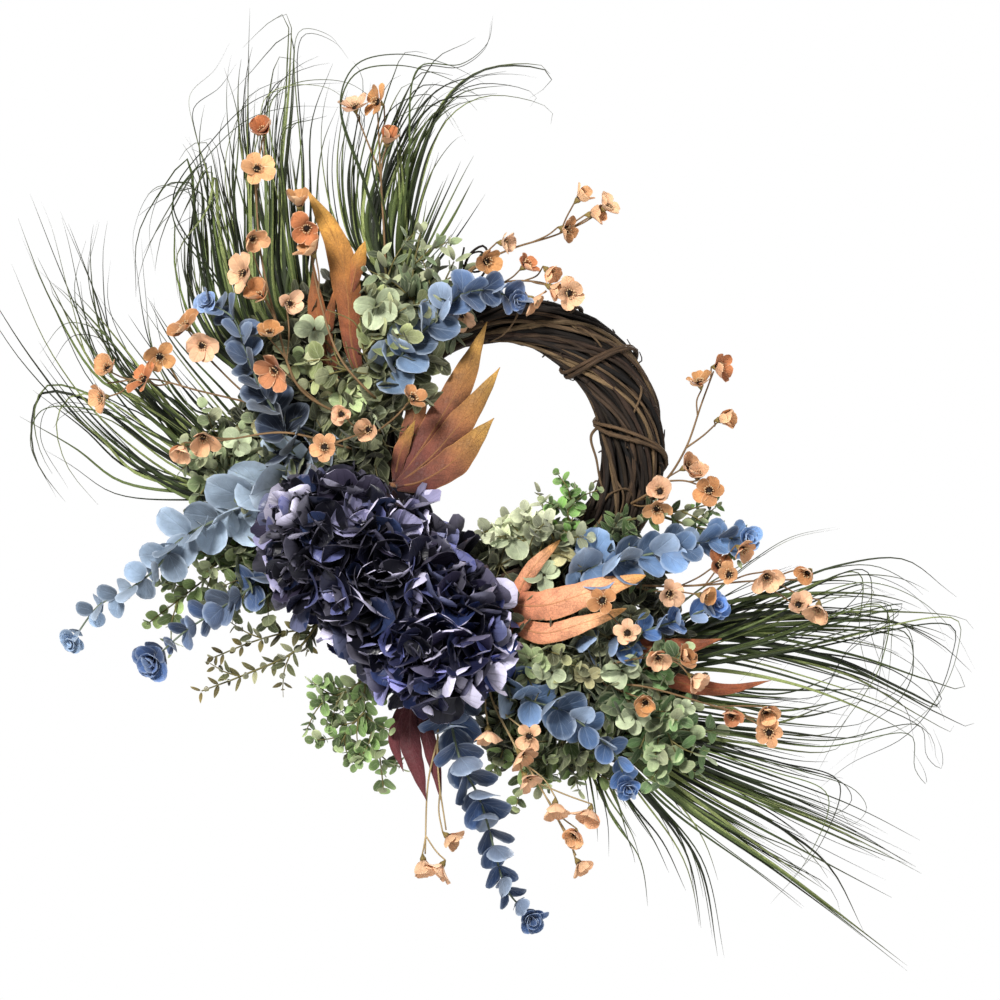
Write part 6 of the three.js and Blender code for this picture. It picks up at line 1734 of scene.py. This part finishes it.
# %% Grass layout
GRASS_TUFTS = {
    "grass_tuft_top_left": {"stem": [(-128, 12, -118), (-170, 14, -106), (-205, 12, -70), (-225, 10, -40)],
        "blades": [
        [(-272, 23), (-295, 123), (-300, 183), (-320, 153), (-343, 103), (-352, 43)],
        [(-280, 23), (-288, 123), (-295, 193), (-310, 246)],
        [(-285, 23), (-302, 103), (-305, 150), (-350, 131), (-390, 93)],
        [(-260, 23), (-278, 113), (-288, 183), (-275, 233), (-255, 258)],
        [(-246, 23), (-265, 123), (-278, 193), (-285, 238), (-275, 263)],
        [(-300, 23), (-310, 93), (-300, 163), (-285, 203)],
        [(-253, 18), (-268, 93), (-285, 153), (-300, 203), (-320, 193), (-335, 153)],
        [(-292, 13), (-318, 78), (-322, 138), (-350, 90), (-362, 58)],
    ]},
    "grass_tuft_top": {"stem": [(-124, 14, -90), (-150, 17, -72), (-180, 16, -30), (-198, 14, 0)],
        "blades": [
        [(-245, 43), (-252, 143), (-253, 243), (-250, 313)],
        [(-235, 43), (-242, 143), (-242, 243), (-223, 341)],
        [(-225, 43), (-230, 143), (-225, 253), (-208, 311), (-188, 295), (-173, 281)],
        [(-215, 43), (-220, 143), (-210, 263), (-212, 315), (-260, 268), (-287, 238)],
        [(-210, 43), (-238, 163), (-243, 245), (-200, 268), (-155, 273)],
        [(-202, 43), (-215, 143), (-216, 225), (-185, 238), (-150, 243)],
        [(-250, 43), (-264, 133), (-260, 223), (-238, 283), (-200, 303)],
        [(-205, 53), (-200, 123), (-205, 203), (-190, 253)],
        [(-220, 43), (-248, 113), (-268, 203), (-265, 273), (-245, 318)],
    ]},
    "grass_tuft_top_right": {"stem": [(-94, 12, -16), (-98, 16, 10), (-102, 15, 40), (-106, 14, 62)],
        "blades": [
        [(-150, 103), (-165, 163), (-162, 223), (-148, 273), (-115, 291), (-70, 251)],
        [(-135, 113), (-128, 183), (-100, 263), (-87, 280), (-50, 277), (-15, 265)],
        [(-125, 118), (-85, 223), (-55, 255), (-15, 263), (41, 264), (30, 251)],
        [(-95, 138), (-60, 238), (-20, 265), (38, 259), (42, 248), (8, 222)],
        [(-82, 118), (-60, 183), (-42, 233)],
        [(-115, 113), (-100, 203), (-70, 263), (-50, 281), (-9, 303), (-10, 328)],
        [(-68, 110), (-39, 173)],
        [(-90, 118), (-70, 193), (-38, 233), (-15, 198)],
        [(-140, 108), (-148, 183), (-138, 253), (-155, 273)],
        [(-105, 118), (-110, 193), (-115, 253), (-130, 283)],
    ]},
    "grass_tuft_left": {"stem": [(-127, 11, -148), (-180, 12, -150), (-225, 10, -146), (-250, 8, -138)],
        "blades": [
        [(-295, -155), (-390, -97), (-455, -19), (-500, 66)],
        [(-280, -142), (-350, -57), (-425, 36), (-470, 75), (-500, 88)],
        [(-275, -127), (-340, -57), (-393, -27), (-432, 63), (-472, 158)],
        [(-275, -117), (-350, -57), (-420, 43), (-430, 65), (-420, 108)],
        [(-270, -107), (-335, -77), (-393, -17), (-409, 73), (-402, 125)],
        [(-262, -97), (-340, -2), (-385, 68)],
        [(-265, -87), (-310, -77), (-353, -17), (-370, 53), (-375, 103)],
        [(-278, -142), (-335, -112), (-400, -64), (-440, -59), (-456, -82), (-445, -127), (-410, -179)],
        [(-295, -147), (-370, -132), (-410, -97), (-460, -62)],
    ]},
    "grass_tuft_right": {"stem": [(63, 10, -217), (75, 13, -270), (92, 12, -320), (110, 9, -340)],
        "blades": [
        [(150, -310), (270, -254), (330, -232), (390, -230), (435, -257), (441, -270)],
        [(140, -307), (220, -270), (370, -269), (420, -290), (455, -322)],
        [(145, -317), (240, -277), (393, -267), (445, -272), (460, -287)],
        [(140, -322), (200, -289), (390, -285), (435, -307)],
        [(150, -327), (200, -302), (350, -322), (430, -357), (465, -372), (455, -337), (420, -302)],
        [(150, -329), (190, -312), (310, -337), (415, -382), (425, -412), (442, -427)],
        [(155, -337), (240, -355), (290, -359), (375, -327)],
        [(150, -347), (220, -357), (300, -364), (390, -377)],
        [(140, -307), (190, -257), (245, -222), (333, -185)],
        [(160, -297), (260, -247), (350, -227), (400, -237)],
        [(160, -302), (300, -297), (400, -317), (445, -357), (425, -397)],
    ]},
    "grass_tuft_lower_right": {"stem": [(24, 11, -233), (40, 13, -300), (72, 11, -355), (98, 9, -378)],
        "blades": [
        [(160, -387), (250, -412), (320, -430), (383, -437)],
        [(170, -397), (310, -457), (453, -514)],
        [(180, -417), (355, -487), (440, -535)],
        [(175, -422), (340, -492), (440, -544)],
        [(170, -432), (330, -519), (415, -564)],
        [(165, -437), (320, -552), (345, -567)],
        [(165, -447), (280, -527), (360, -587), (387, -607)],
        [(160, -417), (280, -477), (330, -519), (362, -577)],
        [(150, -427), (260, -497), (325, -532), (335, -587)],
        [(107, -460), (110, -507)],
        [(120, -462), (150, -507), (168, -557)],
        [(135, -437), (190, -507), (210, -607)],
        [(165, -382), (260, -397), (350, -402), (380, -367)],
    ]},
}
GRASS_TINTS = palette("2c371c", "414e28", "1a2013", "566436", "7c8752", "222b18")
BLADE_TIP_TINT = linear("2a2c1c")
BLADES_PER_ROUTE = 7
DENSE_TUFTS = {"grass_tuft_lower_right": 11, "grass_tuft_right": 7}
# The top edge of the right tuft is almost bare: its routes 8 and 9 get few blades.
SPARSE_ROUTES = {("grass_tuft_right", 8): 2, ("grass_tuft_right", 9): 4}
BLADE_WIDTHS = {"grass_tuft_right": (3.8, 8.2)}
USUAL_WIDTHS = (3.0, 6.5)
BLADE_ROWS = 26
FINE_ROWS = {"grass_tuft_right": 36}
GRASS_STEM_ROWS = 24
# Blades leave the outer part of the stem, lean this far back or forward, and reach no farther forward.
BLADE_STARTS = (0.55, 1.0)
BLADE_LEAN = (-52, 14)
FOREMOST_Y = -118.0
BLADE_THICKNESS = 0.3
# Hair-thin blades that curl at the edge of a tuft, each by the x and z that it passes.
WISPS = {
    "grass_tuft_right": [
        [(367, -228), (372, -289), (383, -326), (390, -349)],
        [(386, -266), (383, -319), (367, -349), (345, -379), (318, -429)],
        [(458, -277), (460, -307), (443, -349), (413, -379), (363, -402), (329, -429)],
        [(405, -262), (352, -304), (322, -349), (284, -364)],
        [(405, -289), (413, -326), (401, -357), (367, -387), (352, -425)],
        [(390, -262), (392, -300), (386, -372)],
        [(352, -232), (401, -243), (435, -273), (450, -307)],
        [(254, -217), (292, -194), (337, -184)],
        [(375, -246), (340, -290), (300, -312), (262, -352)],
    ],
    "grass_tuft_lower_right": [
        [(330, -398), (420, -383), (428, -414), (443, -427), (443, -410), (435, -387)],
        [(300, -428), (356, -448), (367, -467), (352, -482), (337, -459)],
        [(280, -420), (340, -440), (322, -500), (290, -540)],
    ],
    "grass_tuft_top_right": [
        [(-160, 243), (-144, 280), (-102, 290), (-50, 280), (-13, 259)],
        [(-81, 277), (-39, 280), (-13, 301), (-7, 327)],
        [(-128, 190), (-108, 236), (-70, 250), (-44, 214)],
    ],
    "grass_tuft_top": [
        [(-197, 309), (-165, 301), (-152, 285)],
        [(-230, 240), (-207, 259), (-155, 261), (-120, 240)],
    ],
    "grass_tuft_top_left": [
        [(-307, 217), (-310, 248), (-286, 275), (-271, 304)],
        [(-328, 143), (-286, 206), (-249, 243), (-207, 259), (-155, 261)],
        [(-300, 150), (-330, 160), (-352, 120), (-346, 70)],
    ],
    "grass_tuft_left": [
        [(-407, -25), (-428, 38), (-450, 117), (-460, 143)],
        [(-392, 6), (-413, 69), (-402, 127)],
        [(-397, -65), (-452, -62), (-460, -94), (-434, -146)],
        [(-360, -40), (-398, 10), (-436, 20), (-462, -10)],
    ],
}
WISP_DEPTH = -38.0
WISP_ROWS = 64
WISP_WIDTHS = (2.2, 3.2)


def blade_route(start, blade, number, mark):
    """A blade's route: its bundle's, moved sideways more and more, leaning to the front or back."""
    lean = mix(*BLADE_LEAN, shake(number, 81)) + swing(mark, 82, 9)
    off = np.array([swing(mark, 83), swing(mark, 84)])
    route = [start + np.array([swing(mark, 85, 3), swing(mark, 86, 2), swing(mark, 87, 3)])]
    for k, (x, z) in enumerate(blade):
        share = (k + 1) / len(blade)
        spread = mix(7, 26, share) * mix(0.7, 1.4, shake(mark, 88 + k))
        y = start[1] + lean * share ** 1.2
        y = max(FOREMOST_Y, min(WALL_Y - 4, y))
        route.append(np.array([x + off[0] * spread, y, z + off[1] * spread]))
    return route


def add_blade(piece, route, width, end, number, rows=BLADE_ROWS):
    path = smooth_route(route, rows, 0.0, end)
    tangent, side, front = frames(path)
    twist = swing(number, 92, 0.9) + np.linspace(0, swing(number, 93, 1.5), rows)
    across = side * np.cos(twist)[:, None] + front * np.sin(twist)[:, None]
    facing = np.cross(across, tangent)
    t = np.linspace(0, 1, rows)
    half = width / 2 * (0.16 + 0.84 * np.clip(1.15 - t, 0, 1) ** 1.5) * np.clip(1.05 - t ** 8, 0.1, 1)
    edge = across * half[:, None]
    form = np.stack([path - edge, path + facing * half[:, None] * 0.5, path + edge], axis=1)
    tint = GRASS_TINTS[number % len(GRASS_TINTS)] * mix(0.8, 1.2, shake(number, 94))
    tints = mix(tint, BLADE_TIP_TINT, np.clip((t - 0.6) / 0.4, 0, 1)[:, None])
    # Painted shade: a blade is darker toward its base, deep in the tuft.
    tints = (tints * mix(0.4, 1.05, np.clip(t / 0.45, 0, 1))[:, None])[:, None]
    u = t[:, None] * 8
    v = np.linspace(0, 1, 3)[None, :] + shake(number, 95) * 9
    along = np.stack(np.broadcast_arrays(u, v), axis=-1)
    offset = facing[:, None] * (BLADE_THICKNESS / 2)
    piece.grid(form + offset, tints, uv=along, flip=True)
    piece.grid(form - offset, tints * 1.15, uv=along)


def add_wisp(piece, foot, wisp, mark):
    """Two hair-thin strands along a wisp's route, which part more and more."""
    first = np.array([wisp[0][0], WISP_DEPTH, wisp[0][1]])
    route = [foot, mix(foot, first, 0.55) + TO_VIEWER * 6, first]
    for k, (x, z) in enumerate(wisp[1:]):
        route.append(np.array([x, WISP_DEPTH + swing(mark, 98 + k, 14), z]))
    for v in (0, 1):
        shift = np.array([swing(mark + v, 89, 5), swing(mark + v, 90, 5), swing(mark + v, 99, 5)]) * v
        loose = [point + shift * i for i, point in enumerate(route)]
        add_blade(piece, loose, mix(*WISP_WIDTHS, shake(mark + v, 97)), 1.0, mark + v, WISP_ROWS)


def build_grass(name, tuft, number):
    piece = Piece(name)
    stem = smooth_route(tuft["stem"], GRASS_STEM_ROWS)
    piece.stem(stem, 3.6, 5.2, linear("33401f"), sides=10, kind=LEAF)
    thin, stout = BLADE_WIDTHS.get(name, USUAL_WIDTHS)
    rows = FINE_ROWS.get(name, BLADE_ROWS)
    for b, blade in enumerate(tuft["blades"]):
        blades = SPARSE_ROUTES.get((name, b), DENSE_TUFTS.get(name, BLADES_PER_ROUTE))
        for v in range(blades):
            mark = number + 20 * b + v
            start = stem[int(mix(*BLADE_STARTS, shake(mark, 96)) * (GRASS_STEM_ROWS - 1))]
            route = blade_route(start, blade, number + b, mark)
            end = mix(0.5, 1.0, shake(mark, 91) ** 0.8)
            add_blade(piece, route, mix(thin, stout, shake(mark, 97)), end, mark, rows)
    for w, wisp in enumerate(WISPS.get(name, [])):
        add_wisp(piece, stem[-1], wisp, number + 350 + 7 * w)
    return piece.build([GRASS])


for k, (name, tuft) in enumerate(GRASS_TUFTS.items()):
    build_grass(name, tuft, 20000 + 400 * k)

# %% [markdown]
# ## Floor, light and camera
#
# The wreath hangs before a white ground as in the photograph, over a pale floor that lies below the
# camera's view. A large soft light stands in front and to the upper left, a weaker one fills the
# right, and two more keep the back and the side from going dark. The camera looks straight at the
# wreath from 4.5 m, so that its rays are nearly parallel.

# %% Floor
FLOOR_Z = -1.2
# The floor stays pale far from the lights, for the camera only, so that it lights nothing.
FLOOR_GLOW = 0.6
FLOOR_SIDE, FLOOR_FRONT, FLOOR_BACK = 5, -6, 4.6
FLOOR_TINTS = ((0.80, 0.80, 0.79, 1), (0.86, 0.86, 0.85, 1))


def pale_floor():
    material = bpy.data.materials.new("pale_floor")
    material.use_nodes = True
    tree = material.node_tree
    shader = tree.nodes["Principled BSDF"]
    place = add(tree, "ShaderNodeTexCoord").outputs["Object"]
    grain = add(tree, "ShaderNodeTexNoise", {"Vector": place, "Scale": 8.0, "Detail": 3.0}).outputs["Fac"]
    tree.links.new(blended(tree, grain, *FLOOR_TINTS), shader.inputs["Base Color"])
    shader.inputs["Roughness"].default_value = 0.8
    shader.inputs["Emission Color"].default_value = (1, 1, 1, 1)
    seen = add(tree, "ShaderNodeLightPath").outputs["Is Camera Ray"]
    tree.links.new(maths(tree, "MULTIPLY", seen, FLOOR_GLOW), shader.inputs["Emission Strength"])
    corners = [(-FLOOR_SIDE, FLOOR_FRONT, FLOOR_Z), (FLOOR_SIDE, FLOOR_FRONT, FLOOR_Z),
               (FLOOR_SIDE, FLOOR_BACK, FLOOR_Z), (-FLOOR_SIDE, FLOOR_BACK, FLOOR_Z)]
    mesh = bpy.data.meshes.new("floor")
    mesh.from_pydata(corners, [], [(0, 1, 2, 3)])
    mesh.materials.append(material)
    floor = bpy.data.objects.new("floor", mesh)
    bpy.context.scene.collection.objects.link(floor)
    floor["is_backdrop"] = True


pale_floor()

# %% Light
WORLD_LIGHT = 0.15
# The lights look at this point. Each has its name, place, power, size and colour; lengths are in metres.
LIT_POINT = Vector((0, 0, -0.13))
LIGHTS = [
    ("key", (-1.1, -2.6, 1.4), 148, 0.8, (1.0, 0.98, 0.95)),
    ("fill", (1.8, -2.2, 0.2), 18, 2.0, (0.95, 0.97, 1.0)),
    ("back", (0.9, 2.4, 1.3), 80, 1.6, (1.0, 0.99, 0.97)),
    ("side", (2.9, 0.3, 0.9), 22, 1.4, (1.0, 0.99, 0.97)),
]


def white_ground():
    """White where the camera looks past the wreath, and a softer light on it."""
    world = bpy.data.worlds.new("white_ground")
    bpy.context.scene.world = world
    world.use_nodes = True
    tree = world.node_tree
    tree.nodes.clear()
    seen = add(tree, "ShaderNodeBackground", {"Color": (1, 1, 1, 1), "Strength": 1.0})
    lit = add(tree, "ShaderNodeBackground", {"Color": (0.97, 0.98, 1.0, 1), "Strength": WORLD_LIGHT})
    camera_ray = add(tree, "ShaderNodeLightPath").outputs["Is Camera Ray"]
    both = add(tree, "ShaderNodeMixShader", {0: camera_ray, 1: lit.outputs[0], 2: seen.outputs[0]})
    add(tree, "ShaderNodeOutputWorld", {"Surface": both.outputs[0]})


def soft_light(name, place, power, size, colour):
    light = bpy.data.lights.new(name, "AREA")
    light.shape = "DISK"
    light.size = size
    light.energy = power
    light.color = colour
    lamp = bpy.data.objects.new(name, light)
    bpy.context.scene.collection.objects.link(lamp)
    lamp.location = place
    toward = LIT_POINT - Vector(place)
    lamp.rotation_euler = toward.to_track_quat("-Z", "Y").to_euler()


white_ground()
for values in LIGHTS:
    soft_light(*values)
bpy.context.scene.view_settings.view_transform = "Standard"

# %% Camera
CAMERA_PLACE = (0.0, -4.5, -0.157)
# At this lens a millimetre on the wreath's front is a pixel of the photograph.
CAMERA_LENS = 160.2


def front_camera():
    data = bpy.data.cameras.new("camera")
    data.type = "PERSP"
    data.sensor_width = 36
    data.lens = CAMERA_LENS
    data.clip_end = 50
    camera = bpy.data.objects.new("camera", data)
    camera.location = CAMERA_PLACE
    camera.rotation_euler = (math.pi / 2, 0, 0)
    bpy.context.scene.collection.objects.link(camera)
    bpy.context.scene.camera = camera


front_camera()

# %% Sizes and the end
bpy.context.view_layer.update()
total = sum(len(piece.data.polygons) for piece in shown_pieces() if piece.type == "MESH")
print("faces in all", total)
